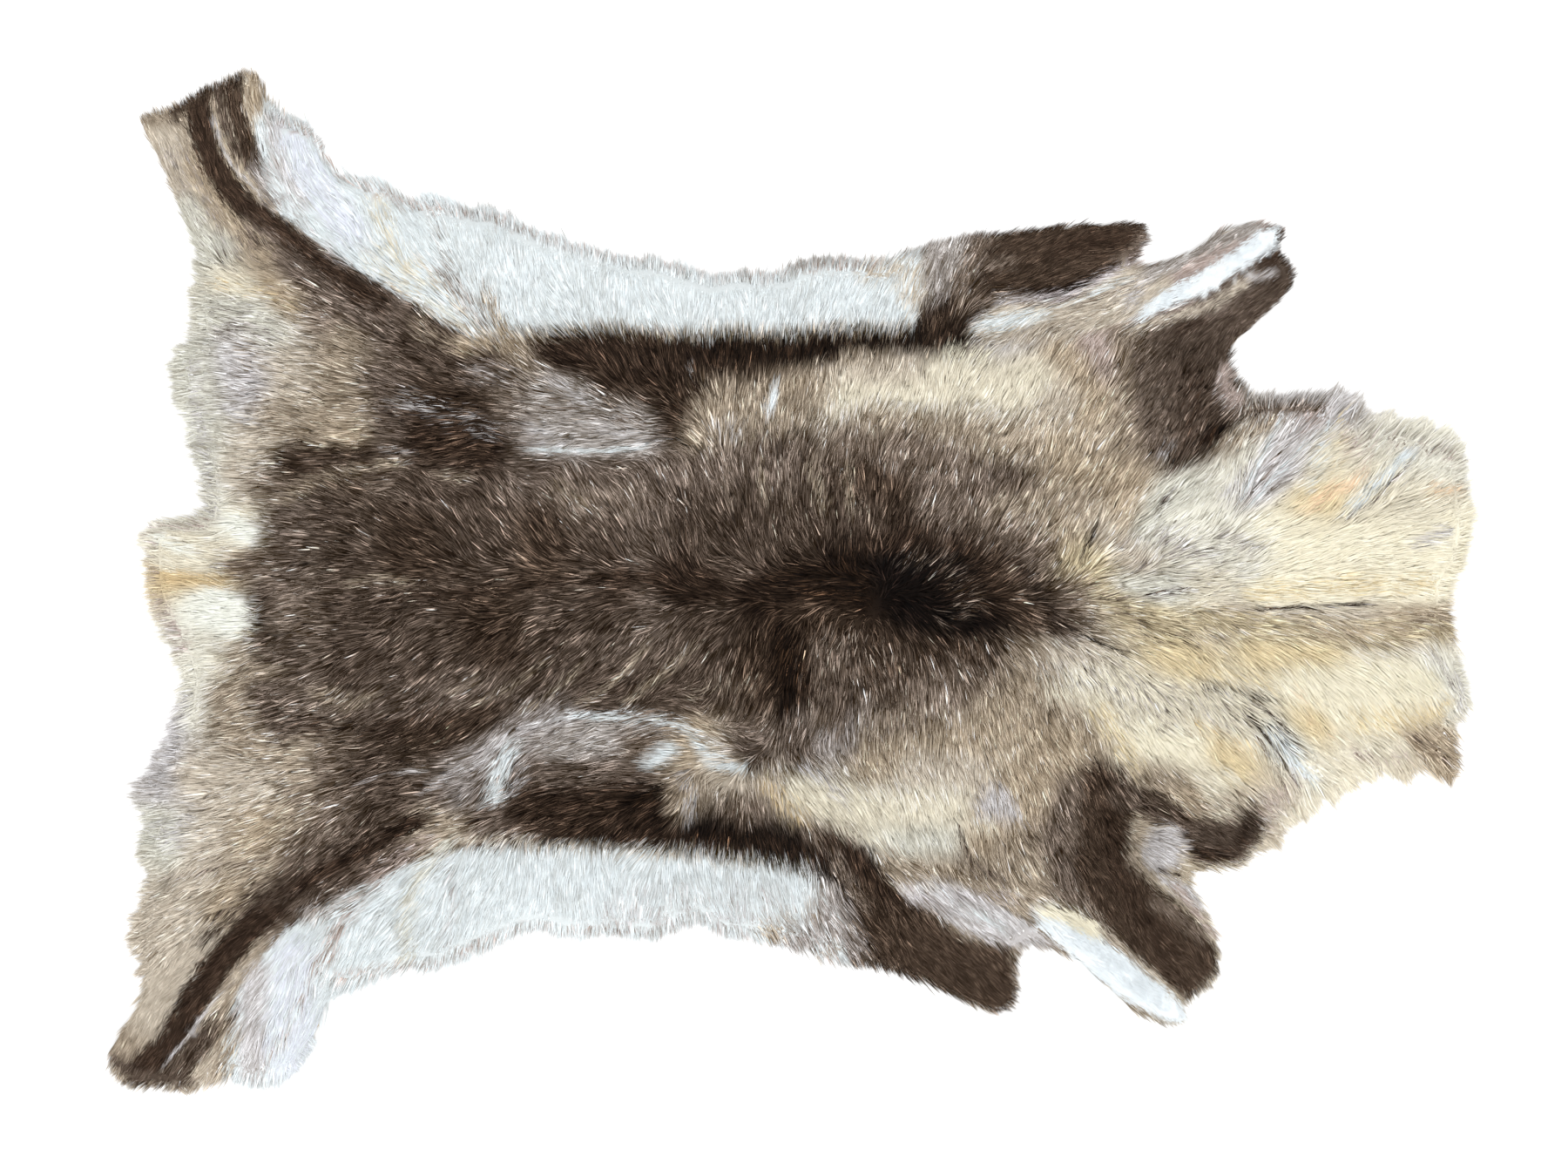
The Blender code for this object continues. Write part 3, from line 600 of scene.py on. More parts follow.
MARKS = (
    # the saddle, the spine and the loin
    ("tan", 0.5, 16, 7, (508, 545), (530, 548)),
    ("tan", 0.5, 14, 6, (640, 558), (658, 568), (672, 580)),
    ("brown", 0.6, 14, 8, (790, 532), (793, 578)),
    ("brown", 0.6, 14, 7, (832, 530), (838, 578)),
    ("tan", 0.5, 14, 6, (872, 530), (878, 572)),
    ("brown", 0.5, 14, 6, (902, 530), (906, 590)),
    ("tan", 0.55, 16, 8, (932, 535), (944, 580)),
    ("tan", 0.5, 14, 6, (972, 540), (978, 585)),
    ("tan", 0.45, 14, 6, (398, 672), (430, 664), (470, 668)),
    ("brown", 0.22, 16, 7, (480, 676), (560, 676), (680, 672)),
    ("tan", 0.65, 16, 7, (365, 792), (385, 800), (405, 808), (428, 798)),
    ("tan", 0.4, 14, 6, (520, 792), (545, 785)),
    ("tan", 0.5, 13, 4, (552, 806), (590, 788), (628, 758)),
    ("tan", 0.5, 13, 4, (604, 812), (640, 794), (668, 764)),
    ("tan", 0.65, 13, 4, (672, 806), (712, 778), (745, 738)),
    ("tan", 0.65, 13, 5, (722, 802), (760, 775), (794, 745)),
    ("tan", 0.35, 14, 6, (790, 802), (830, 782), (866, 786)),
    ("umber", 0.55, 14, 6, (560, 698), (570, 730)),
    ("black brown", 0.85, 14, 9, (892, 722), (908, 752), (912, 790), (900, 822)),
    ("umber", 0.6, 16, 6, (440, 690), (600, 674), (690, 662), (745, 662), (790, 682),
     (860, 684), (950, 668)),  # spine line
    # Painted shadow in the loin's parting and whorl, where the hair parts.
    ("black brown", 0.85, 6, 2, (781, 566), (780, 610), (778, 662)),  # loin parting
    ("black brown", 0.8, 14, 5, (762, 686), (774, 690), (790, 688)),  # loin whorl
    ("umber", 0.4, 20, 8, (790, 560), (785, 630)),
    # the back and the withers
    ("brown", 0.45, 50, 30, (1080, 580), (1130, 590), (1180, 620)),
    ("brown", 0.4, 60, 36, (960, 760), (1040, 790), (1140, 770)),
    ("tan", 0.45, 40, 26, (1000, 850), (1080, 840), (1180, 820)),
    # Black streaks at the withers: partly the coat's dark patches, partly painted shadow in
    # their crevices.
    ("black", 0.85, 22, 13, (1014, 652), (1045, 648), (1075, 650), (1098, 646)),
    ("black", 0.85, 22, 11, (1024, 678), (1050, 698), (1080, 712), (1120, 718), (1158, 712)),
    ("black brown", 0.8, 10, 5, (953, 636), (962, 650)),
    ("umber", 0.4, 40, 26, (1090, 660), (1130, 670), (1150, 690)),
    ("tan", 0.45, 22, 10, (1236, 672), (1258, 700)),
    # Painted shadow in the crease at the withers: black lines with a soft black-brown shade
    # along them.
    ("black", 0.95, 7, 3, (1160, 636), (1182, 655), (1190, 676), (1204, 694), (1206, 704)),
    ("black brown", 0.6, 16, 5, (1150, 634), (1178, 652), (1190, 680), (1204, 700),
     (1212, 726)),  # crease shade
    ("black", 0.7, 6, 2.4, (1216, 716), (1240, 726), (1262, 738), (1284, 748), (1312, 747)),
    # More painted shadow in the withers' crevices, over dark hair.
    ("black", 0.5, 20, 10, (1082, 642), (1108, 652)),
    ("brown", 0.35, 20, 10, (1040, 640), (1090, 650), (1120, 690), (1085, 712)),
    # the lower flank
    ("pale tan", 0.65, 12, 5, (480, 972), (540, 964), (610, 964)),
    ("roan", 0.55, 16, 8, (610, 842), (680, 832), (780, 838)),
    ("silver", 0.75, 14, 6, (548, 876), (580, 848), (616, 830), (660, 822)),
    ("white", 0.55, 10, 5, (650, 820), (700, 824), (750, 826), (784, 832)),
    ("white", 0.8, 9, 4, (776, 828), (794, 842), (808, 862)),
    ("white", 0.95, 8, 5, (800, 852), (822, 878), (858, 884)),
    ("silver", 0.85, 8, 3.5, (420, 898), (440, 888), (482, 884)),
    # Painted shadow in the lower whorl, where the hair parts.
    ("umber", 0.7, 18, 8, (862, 862), (866, 878)),  # lower whorl
    ("gold", 0.45, 20, 11, (880, 902), (918, 936)),
    ("silver", 0.5, 18, 9, (925, 880), (950, 895), (965, 915)),
    ("grey", 0.6, 18, 9, (962, 845), (975, 858)),
    ("umber", 0.7, 6, 2.4, (1098, 945), (1108, 970), (1115, 990)),
    ("snow", 0.35, 8, 3, (672, 820), (720, 816), (775, 822), (815, 848), (842, 880)),
    # the upper hind leg
    ("tan", 0.6, 30, 16, (175, 125), (215, 115), (235, 180)),
    ("grey", 0.3, 30, 22, (200, 180), (235, 250), (270, 290)),
    ("umber", 1, 20, 16, (222, 108), (230, 150), (243, 188), (262, 216), (292, 246),
     (322, 268), (350, 293), (375, 315), (408, 334), (436, 350)),  # upper leg, stripe
    ("saddle", 0.7, 14, 7, (430, 346), (480, 370), (526, 388)),
    ("fawn", 0.8, 30, 12, (284, 262), (335, 300), (365, 326), (404, 354), (430, 374)),
    ("peat", 0.95, 20, 0, (250, 98), (272, 94), (278, 120), (286, 142), (294, 165), (306, 188),
     (304, 210), (286, 202), (268, 174), (257, 140)),
    ("sand", 0.7, 12, 8, (286, 90), (292, 108), (292, 130)),
    ("peat", 0.95, 16, 10, (198, 130), (210, 116), (228, 104), (250, 98), (268, 92)),
    ("grey", 0.7, 24, 12, (296, 196), (300, 214), (316, 228)),
    ("silver", 0.8, 24, 13, (314, 140), (322, 190), (345, 225)),
    # the upper haunch
    ("grey", 0.3, 30, 16, (250, 352), (300, 362), (310, 400)),
    ("gold", 0.25, 26, 10, (250, 326), (300, 334), (330, 348)),
    ("umber", 0.5, 10, 3, (243, 304), (258, 299), (276, 304)),
    ("black brown", 0.75, 5, 2, (295, 294), (303, 308)),
    ("grey", 0.6, 14, 8, (252, 385), (275, 372), (300, 382)),
    ("grey", 0.4, 26, 18, (284, 400), (292, 440), (290, 470)),
    ("silver", 0.6, 16, 9, (262, 470), (300, 484), (340, 486)),
    ("silver", 0.5, 12, 8, (222, 420), (226, 480), (236, 540), (244, 590)),
    ("tan", 0.7, 34, 26, (320, 480), (370, 490), (400, 470)),
    ("saddle", 0.65, 24, 9, (345, 530), (400, 530), (440, 524)),
    ("brown", 0.55, 26, 16, (296, 556), (330, 568)),
    ("umber", 0.5, 50, 16, (450, 470), (520, 482), (550, 495)),
    ("silver", 0.4, 12, 5, (452, 464), (495, 470)),
    ("silver", 0.22, 24, 14, (470, 458), (530, 480), (570, 492)),
    ("silver", 0.4, 8, 3, (446, 515), (475, 521)),
    ("tan", 0.5, 24, 12, (284, 398), (288, 414)),
    # the upper flank and shoulder
    ("umber", 0.95, 30, 18, (655, 404), (700, 406), (790, 416), (840, 406), (920, 404),
     (948, 404)),  # upper flank band
    ("umber", 0.7, 34, 16, (700, 430), (760, 438), (800, 445)),
    # The flank line: the coat's own black-brown, deepened as painted shadow where the flank
    # hair overhangs the belly.
    ("black brown", 0.9, 14, 13, (800, 400), (880, 406), (940, 405)),  # flank line
    ("black brown", 0.9, 12, 11, (930, 396), (1000, 394), (1060, 392), (1104, 386)),
    ("brown", 0.4, 44, 20, (600, 448), (660, 458), (720, 478), (740, 496)),  # upper roan, tan
    ("silver", 0.7, 16, 7, (640, 440), (672, 462)),
    ("silver", 0.65, 14, 6, (604, 484), (622, 496), (645, 508)),
    ("silver", 0.6, 10, 4, (596, 506), (622, 512), (655, 518)),
    ("white", 0.8, 6, 3, (604, 516), (690, 518), (740, 514)),
    ("silver", 0.5, 14, 7, (690, 490), (740, 504)),
    # Painted shadow in the upper whorl, where the hair parts.
    ("black brown", 0.7, 18, 7, (764, 470), (776, 464), (784, 476)),  # upper whorl
    ("black brown", 0.7, 10, 3, (752, 474), (772, 492), (784, 508)),
    ("silver", 0.7, 5, 2, (690, 494), (735, 511), (770, 502)),
    ("umber", 0.7, 5, 2, (700, 446), (735, 458), (764, 468)),
    ("umber", 0.6, 5, 2, (700, 480), (740, 478), (766, 474)),
    ("tan", 0.5, 30, 20, (815, 478), (850, 488), (900, 480)),
    ("silver", 0.4, 16, 8, (822, 496), (845, 494)),
    ("snow", 1, 7, 4, (890, 446), (887, 462), (880, 478)),  # white slash
    ("silver", 0.7, 5, 2, (795, 420), (793, 430)),  # white nick
    ("sand", 0.5, 18, 8, (905, 440), (935, 440), (955, 455)),  # gold by the slash
    ("tan", 0.4, 12, 4, (1000, 414), (1050, 412), (1110, 412)),
    # Painted shade in the valley of the coat.
    ("umber", 0.5, 14, 4, (500, 533), (560, 536), (630, 533)),  # valley
    ("tan", 0.5, 24, 12, (936, 432), (954, 440)),
    # the upper flap and armpit
    ("pale tan", 0.6, 22, 9, (1054, 304), (1056, 336)),
    ("grey", 0.65, 20, 9, (1084, 296), (1082, 340)),
    ("peat", 1, 26, 0, (1128, 262), (1150, 254), (1312, 240), (1332, 262), (1300, 298),
     (1262, 316), (1222, 338), (1192, 338), (1150, 336), (1124, 368), (1112, 366),
     (1122, 330)),  # upper flap
    ("peat", 1, 18, 9, (1070, 376), (1090, 370), (1102, 366)),
    ("brown", 0.7, 14, 8, (1288, 292), (1316, 270)),
    ("brown", 0.8, 26, 12, (1102, 334), (1114, 300), (1130, 276)),
    ("umber", 0.8, 24, 14, (1215, 285), (1260, 275), (1290, 272)),
    ("black brown", 0.7, 10, 6, (1190, 336), (1222, 332), (1245, 320)),  # upper flap, wedge
    ("pale tan", 1, 12, 0, (1108, 378), (1140, 352), (1180, 346), (1220, 346), (1262, 324),
     (1300, 302), (1345, 308), (1350, 332), (1300, 366), (1240, 386), (1180, 396),
     (1124, 392)),  # upper armpit
    ("white", 0.75, 20, 10, (1128, 374), (1160, 368), (1190, 362)),
    ("white", 0.5, 14, 6, (1190, 354), (1240, 342), (1290, 322)),
    ("brown", 0.5, 8, 3, (1180, 394), (1215, 378), (1250, 362)),
    ("brown", 0.6, 8, 3, (1150, 344), (1200, 350), (1246, 336)),
    ("brown", 0.5, 7, 3, (1225, 356), (1290, 330), (1340, 306)),
    ("brown", 0.4, 7, 3, (1160, 384), (1226, 368), (1280, 348)),
    ("pale tan", 0.6, 24, 11, (1240, 366), (1272, 364), (1300, 352)),
    ("brown", 0.55, 20, 9, (1104, 312), (1130, 300), (1160, 300)),
    ("umber", 0.6, 16, 8, (1116, 352), (1100, 372), (1080, 382)),
    ("brown", 0.8, 22, 10, (1104, 350), (1128, 344), (1140, 340)),
    # the upper foreleg
    ("roan", 0.9, 14, 12, (1320, 312), (1360, 292), (1400, 272), (1440, 258)),
    ("brown", 0.45, 9, 5, (1325, 302), (1360, 282), (1405, 260)),
    ("saddle", 1, 24, 0, (1294, 402), (1335, 390), (1385, 373), (1412, 356), (1442, 318),
     (1470, 296), (1486, 302), (1492, 320), (1440, 375), (1410, 412), (1396, 440), (1400, 476),
     (1390, 500), (1374, 526), (1345, 545), (1318, 530), (1300, 470)),  # upper foreleg
    ("umber", 0.45, 36, 18, (1374, 420), (1372, 450), (1366, 500)),
    ("brown", 0.6, 44, 24, (1302, 398), (1310, 440), (1322, 500)),
    ("pale tan", 0.7, 14, 6, (1298, 378), (1345, 364), (1396, 348), (1436, 318)),
    ("snow", 1, 14, 0, (1300, 372), (1314, 350), (1345, 329), (1384, 309), (1418, 286),
     (1446, 264), (1470, 258), (1467, 284), (1430, 305), (1404, 322), (1376, 339),
     (1340, 353)),  # upper foreleg strip
    ("silver", 0.4, 14, 7, (1440, 318), (1462, 312)),
    ("silver", 0.7, 6, 4, (1334, 516), (1342, 520)),
    ("rose grey", 0.9, 12, 9, (1408, 424), (1406, 448), (1420, 462)),  # upper foreleg tuft
    # Painted shadow of the foreleg's fold: its dark crease and the tan shade under it.
    ("black brown", 0.9, 12, 8, (1416, 490), (1397, 492), (1380, 510)),  # fold
    ("tan", 0.8, 20, 12, (1406, 514), (1430, 498), (1462, 486)),
    ("brown", 0.95, 10, 7, (1410, 474), (1460, 468), (1515, 468)),  # turned edge
    # Painted shade by the turned edge.
    ("umber", 0.6, 12, 5, (1410, 482), (1450, 476)),
    ("silver", 0.6, 14, 6, (1290, 338), (1300, 350), (1310, 326)),
    # the upper neck and its fans
    ("silver", 0.55, 30, 20, (1420, 570), (1460, 530), (1500, 500)),
    ("brown", 0.6, 7, 2.6, (1420, 580), (1433, 520), (1450, 495)),
    ("brown", 0.55, 7, 2.6, (1430, 576), (1460, 537), (1480, 484)),
    ("grey", 0.55, 7, 2.6, (1440, 580), (1470, 552), (1505, 540)),
    ("white", 0.6, 8, 3.4, (1425, 570), (1446, 528), (1466, 486)),
    ("white", 0.6, 8, 3.4, (1436, 578), (1470, 540), (1500, 508)),
    ("saddle", 0.5, 9, 4, (1395, 612), (1415, 598), (1428, 580)),
    ("pearl", 0.55, 30, 22, (1340, 620), (1390, 600), (1440, 615)),
    ("rose grey", 0.45, 24, 14, (1496, 480), (1540, 500), (1566, 524)),
    ("rose grey", 0.35, 14, 8, (1570, 500), (1630, 515), (1685, 530)),
    ("brown", 0.35, 7, 3, (1562, 494), (1600, 506), (1650, 518)),
    ("sand", 0.6, 14, 7, (1640, 562), (1685, 562)),
    ("orange tan", 0.6, 22, 9, (1505, 578), (1530, 565), (1560, 552)),
    ("straw", 0.6, 12, 4, (1530, 545), (1536, 515), (1540, 482)),
    ("orange tan", 0.5, 18, 7, (1640, 562), (1672, 562)),
    ("white", 0.5, 16, 7, (1505, 560), (1515, 520), (1522, 490)),
    ("white", 0.7, 16, 8, (1550, 588), (1585, 552), (1620, 520)),  # second fan
    ("grey", 0.6, 8, 3, (1535, 598), (1562, 586), (1582, 574)),
    ("grey", 0.5, 6, 2.4, (1568, 582), (1600, 552), (1618, 530)),
    # the neck and its band
    ("silver", 0.7, 12, 7, (1630, 624), (1660, 608)),
    ("black brown", 0.95, 5, 2.4, (1258, 596), (1252, 622), (1240, 640)),
    ("umber", 0.9, 6, 3, (1340, 566), (1332, 582)),
    ("umber", 0.6, 5, 2, (1212, 648), (1208, 664)),
    ("grey", 0.22, 50, 34, (1300, 640), (1345, 630), (1400, 660)),
    ("tan", 0.2, 50, 34, (1270, 720), (1320, 750), (1400, 770)),
    ("grey", 0.6, 12, 6, (1312, 684), (1356, 678)),
    ("pearl", 0.4, 26, 12, (1200, 775), (1240, 782), (1290, 800)),
    ("grey", 0.28, 50, 30, (1215, 775), (1290, 795), (1360, 815), (1430, 830)),
    ("straw", 0.5, 26, 12, (1262, 815), (1285, 850), (1300, 875)),
    ("straw", 0.45, 24, 10, (1380, 775), (1450, 780), (1470, 800)),
    ("dun", 0.8, 24, 16, (1380, 712), (1450, 718), (1540, 728), (1610, 726), (1665, 716)),
    ("sand", 0.6, 20, 9, (1500, 722), (1560, 728), (1620, 720)),
    ("tan", 0.6, 18, 10, (1630, 712), (1668, 710)),
    # Painted shadow in the neck's trough along its parting.
    ("umber", 0.95, 4, 1.8, (1440, 700), (1500, 697), (1570, 693)),  # neck parting
    ("saddle", 0.6, 5, 2, (1488, 704), (1500, 722)),
    ("umber", 0.5, 7, 3, (1308, 684), (1330, 679), (1350, 680)),
    ("grey", 0.5, 16, 10, (1330, 612), (1350, 630), (1395, 640)),
    ("grey", 0.7, 10, 5, (1400, 614), (1420, 624), (1444, 634)),
    # Painted shadow in the neck's lower trough.
    ("umber", 0.7, 9, 4, (1376, 784), (1410, 791), (1440, 799), (1458, 800)),
    ("brown", 0.3, 20, 12, (1290, 700), (1320, 726), (1370, 740)),
    ("brown", 0.35, 20, 12, (1244, 660), (1275, 680), (1300, 700)),
    ("straw", 0.5, 26, 12, (1440, 680), (1540, 672), (1640, 670)),
    ("ivory", 0.9, 24, 22, (1490, 790), (1560, 790), (1630, 790)),  # neck roll, pale
    ("orange tan", 0.2, 24, 8, (1486, 790), (1505, 825), (1530, 848)),
    ("straw", 0.6, 24, 14, (1560, 830), (1620, 825), (1660, 815)),
    ("silver", 0.3, 20, 10, (1385, 822), (1410, 842), (1436, 862)),
    ("cream", 0.6, 26, 12, (1206, 792), (1228, 802)),
    # the lower neck and the chest
    ("white", 0.7, 20, 14, (1462, 846), (1485, 868), (1505, 888)),
    ("white", 0.7, 9, 4, (1466, 838), (1500, 862), (1525, 880)),
    ("saddle", 0.35, 12, 7, (1440, 822), (1462, 840), (1480, 862)),
    ("umber", 0.85, 5, 2.4, (1434, 822), (1456, 850), (1488, 898)),
    ("umber", 0.85, 5, 2.4, (1450, 814), (1476, 836), (1500, 876)),
    ("brown", 0.8, 5, 2, (1438, 838), (1454, 864), (1474, 902)),
    ("cream", 0.6, 18, 12, (1500, 866), (1540, 900), (1510, 926), (1480, 945)),
    ("rose grey", 0.4, 14, 7, (1560, 866), (1600, 880), (1612, 862)),
    ("ash cream", 0.6, 12, 7, (1640, 868), (1662, 850), (1668, 820)),
    ("sand", 1, 10, 0, (1606, 838), (1672, 834), (1678, 900), (1650, 880), (1618, 858)),
    ("brown", 0.6, 9, 4, (1622, 846), (1650, 860), (1664, 876)),
    # Painted shade of the chest fold, in tan.
    ("tan", 0.7, 14, 8, (1404, 922), (1424, 908), (1440, 915)),  # chest fold, tan
    ("gold", 0.3, 26, 12, (1370, 830), (1400, 845), (1440, 860)),
    ("cream", 0.7, 12, 6, (1405, 885), (1425, 900)),
    ("rose grey", 0.55, 18, 9, (1452, 950), (1460, 925), (1490, 900)),  # chest rim
    # the lower foreleg and its toe
    ("peat", 1, 22, 0, (1236, 880), (1262, 868), (1290, 882), (1304, 925), (1298, 950),
     (1292, 986), (1318, 1012), (1350, 1034), (1376, 1056), (1400, 1088), (1402, 1118),
     (1370, 1152), (1330, 1124), (1284, 1080), (1250, 1036), (1232, 990), (1232, 930)),
    ("umber", 0.7, 26, 12, (1275, 930), (1282, 1000), (1310, 1050), (1345, 1095)),
    ("brown", 0.4, 30, 16, (1200, 940), (1190, 968)),
    ("brown", 0.6, 30, 16, (1225, 900), (1225, 960)),
    ("saddle", 1, 20, 0, (1342, 922), (1372, 938), (1392, 941), (1412, 938), (1426, 930),
     (1440, 926), (1454, 940), (1448, 968), (1428, 992), (1392, 996), (1370, 990),
     (1356, 966)),  # lower small toe
    ("saddle", 0.9, 20, 18, (1288, 912), (1320, 924), (1352, 944)),
    ("black brown", 0.85, 10, 5, (1430, 930), (1434, 950), (1424, 972)),
    ("umber", 0.7, 12, 7, (1376, 978), (1410, 982), (1430, 968)),
    ("brown", 0.6, 22, 9, (1384, 934), (1410, 930), (1430, 922)),
    ("silver", 1, 14, 0, (1312, 974), (1320, 954), (1338, 944), (1354, 950), (1360, 972),
     (1354, 996), (1330, 1004), (1314, 992)),  # lower foreleg patch
    ("silver", 0.8, 14, 9, (1340, 1010), (1362, 1026), (1378, 1044)),
    ("rose grey", 0.6, 12, 6, (1352, 1020), (1374, 1046), (1394, 1076)),
    ("umber", 0.7, 5, 2, (1330, 998), (1356, 1006)),
    ("pale tan", 0.6, 12, 4, (1264, 1066), (1298, 1098), (1330, 1126), (1354, 1150)),
    ("tan", 0.6, 12, 5, (1150, 1090), (1180, 1090), (1212, 1094), (1240, 1110)),
    ("snow", 1, 14, 0, (1186, 1043), (1222, 1050), (1246, 1062), (1272, 1084), (1300, 1104),
     (1324, 1124), (1348, 1144), (1366, 1168), (1368, 1178), (1342, 1174), (1310, 1158),
     (1282, 1142), (1254, 1122), (1232, 1100), (1208, 1078), (1190, 1064)),
    ("ivory", 0.9, 16, 10, (1200, 1044), (1235, 1056), (1255, 1068)),
    ("brown", 0.7, 16, 9, (1330, 1040), (1366, 1062), (1380, 1076)),
    # more on the back and the withers
    ("brown", 0.5, 26, 14, (846, 820), (864, 830)),
    ("sand", 0.6, 26, 10, (1206, 608), (1228, 622)),
    ("brown", 0.7, 26, 14, (940, 820), (960, 836)),
    # more on the neck and its band
    ("silver", 0.6, 9, 6, (1672, 780), (1680, 800), (1678, 820)),  # neck end tuft
    ("grey", 0.5, 9, 4, (1640, 745), (1660, 770), (1668, 790)),
    # the tail and the rump
    ("milk", 1, 10, 15, (270, 602), (284, 614)),  # rump, upper patch
    ("cream", 1, 16, 24, (190, 630), (232, 640)),  # tail
    ("milk", 0.7, 12, 8, (182, 618), (222, 634)),
    ("gold", 0.5, 10, 4, (204, 654), (222, 662), (245, 664)),
    ("brown", 0.7, 16, 9, (262, 652), (290, 650), (310, 655)),  # tail root
    ("milk", 1, 14, 24, (244, 698), (264, 704), (272, 712)),  # rump, white patch
    ("straw", 0.6, 12, 5, (268, 736), (288, 726)),
    ("rose grey", 0.75, 12, 7, (180, 690), (196, 720), (206, 745)),  # rump fringe
    ("rose grey", 0.7, 9, 4, (172, 605), (173, 640), (178, 670)),  # tail fringe
    ("rose grey", 0.6, 8, 4, (178, 604), (215, 606), (238, 598)),
    ("saddle", 0.9, 16, 10, (300, 680), (302, 720), (290, 765)),
    # more on the saddle, the spine and the loin
    ("tan", 0.7, 16, 7, (328, 572), (352, 556), (385, 546), (425, 538), (458, 532)),
    ("brown", 0.6, 18, 8, (290, 772), (325, 778), (350, 790)),
    ("umber", 0.5, 30, 14, (350, 832), (400, 835), (480, 832)),
    ("umber", 0.25, 40, 20, (345, 620), (362, 700), (345, 750)),
    # more on the tail and the rump
    ("pale tan", 0.6, 18, 9, (276, 740), (288, 752)),
    ("tan", 0.6, 18, 9, (286, 766), (318, 770)),
    ("cream", 0.6, 16, 8, (252, 756), (256, 776)),
    # more on the upper haunch
    ("brown", 0.6, 22, 12, (424, 548), (446, 562)),
    # the lower armpit and flap
    ("silver", 1, 12, 0, (1022, 1012), (1040, 1002), (1070, 1002), (1112, 1022), (1150, 1040),
     (1184, 1062), (1212, 1088), (1180, 1096), (1134, 1084), (1096, 1066), (1074, 1044),
     (1038, 1034)),  # lower armpit
    ("white", 0.5, 16, 7, (1044, 1016), (1084, 1028), (1150, 1064)),
    ("grey", 0.5, 7, 3, (1054, 1016), (1090, 1052), (1150, 1080)),
    ("sand", 0.5, 10, 4, (1090, 1066), (1140, 1086), (1180, 1094)),
    ("peat", 1, 20, 0, (985, 1010), (1020, 1010), (1050, 1046), (1110, 1080), (1160, 1086),
     (1172, 1150), (1150, 1170), (1060, 1130), (1000, 1096), (985, 1060)),  # lower flap
    ("grey", 0.7, 26, 16, (960, 1040), (980, 1088)),
    # more on the lower flank
    # The lower flank line: the coat's own dark colour, deepened as painted shadow where the
    # flank hair overhangs the belly.
    ("umber", 1, 16, 8, (640, 958), (700, 960), (780, 964), (860, 970), (940, 984),
     (1000, 1006), (1020, 1030)),  # lower flank line
    ("black brown", 0.9, 14, 9, (790, 960), (880, 966), (930, 976), (966, 992)),
    ("umber", 0.75, 34, 0, (590, 906), (650, 902), (730, 896), (764, 900), (760, 950),
     (640, 960), (590, 948)),  # lower dark field
    ("black brown", 0.7, 16, 9, (728, 920), (752, 905), (754, 932)),
    ("white", 0.95, 10, 10, (750, 876), (768, 860)),  # lower roan, tuft
    ("silver", 0.55, 12, 7, (784, 890), (794, 912), (792, 935)),
    ("white", 0.7, 16, 11, (586, 860), (574, 884), (568, 914)),
    ("silver", 0.6, 8, 3, (598, 872), (598, 896), (588, 914)),
    ("silver", 0.5, 10, 5, (492, 908), (520, 886), (556, 872)),
    ("silver", 0.5, 12, 8, (790, 905), (792, 932)),
    ("silver", 0.9, 18, 0, (1116, 934), (1128, 908), (1146, 898), (1168, 924), (1176, 944),
     (1146, 942)),  # lower white spot
    ("black brown", 0.6, 14, 9, (836, 946), (872, 950)),
    ("cream", 0.6, 16, 10, (1118, 948), (1134, 950)),
    # the lower haunch
    ("saddle", 0.75, 46, 24, (446, 880), (440, 930), (400, 980)),
    ("brown", 0.5, 10, 3, (190, 1010), (240, 1000), (310, 985)),
    ("silver", 0.7, 12, 8, (212, 800), (202, 840), (190, 880)),
    ("silver", 0.5, 18, 9, (180, 950), (200, 970), (215, 930)),
    ("saddle", 0.7, 20, 12, (310, 820), (326, 848)),
    ("brown", 0.6, 26, 12, (336, 908), (352, 922)),
    ("umber", 0.6, 26, 14, (480, 820), (506, 830)),  # haunch end, dark
    # the lower hind leg
    ("umber", 1, 18, 19, (310, 1040), (288, 1062), (264, 1092), (240, 1122), (220, 1150),
     (206, 1178), (190, 1204), (158, 1234)),  # lower leg, stripe
    ("umber", 1, 16, 10, (486, 940), (440, 960), (400, 984), (350, 1010), (310, 1040)),
    ("saddle", 0.7, 26, 10, (430, 952), (350, 992), (284, 1034), (236, 1078)),
    ("saddle", 0.9, 14, 9, (130, 1220), (160, 1240), (210, 1242)),
    ("saddle", 0.95, 14, 0, (252, 1152), (272, 1154), (276, 1166), (254, 1194), (236, 1210),
     (218, 1234), (208, 1250), (170, 1248), (196, 1214), (222, 1186)),
    ("silver", 0.95, 22, 18, (292, 1120), (290, 1160), (290, 1220)),
    ("tan", 0.75, 20, 12, (262, 1190), (250, 1236)),
    ("silver", 0.8, 5, 2, (270, 1126), (248, 1146), (230, 1168), (213, 1192), (188, 1222)),
    # the lower stifle and belly
    # Painted shade along the folds of the lower stifle and belly, grey-brown on the white.
    ("rose grey", 0.6, 26, 9, (486, 966), (440, 1000), (404, 1036), (382, 1074), (370, 1112)),
    ("ash cream", 0.7, 20, 8, (516, 968), (488, 995), (470, 1030), (463, 1068), (468, 1106)),
    ("silver", 0.4, 16, 6, (508, 985), (520, 1030), (512, 1085)),
    ("rose grey", 0.4, 12, 4, (470, 975), (430, 1016), (402, 1062)),
    ("silver", 0.3, 40, 24, (730, 1036), (800, 1040), (905, 1040)),
    ("roan", 0.9, 40, 18, (912, 1100), (938, 1064), (952, 1030)),
    ("tan", 0.8, 26, 12, (948, 1100), (966, 1064)),
    ("roan", 0.6, 30, 12, (926, 1000), (950, 1030)),
    ("pale tan", 0.55, 12, 5, (600, 968), (700, 974), (800, 981), (890, 992)),
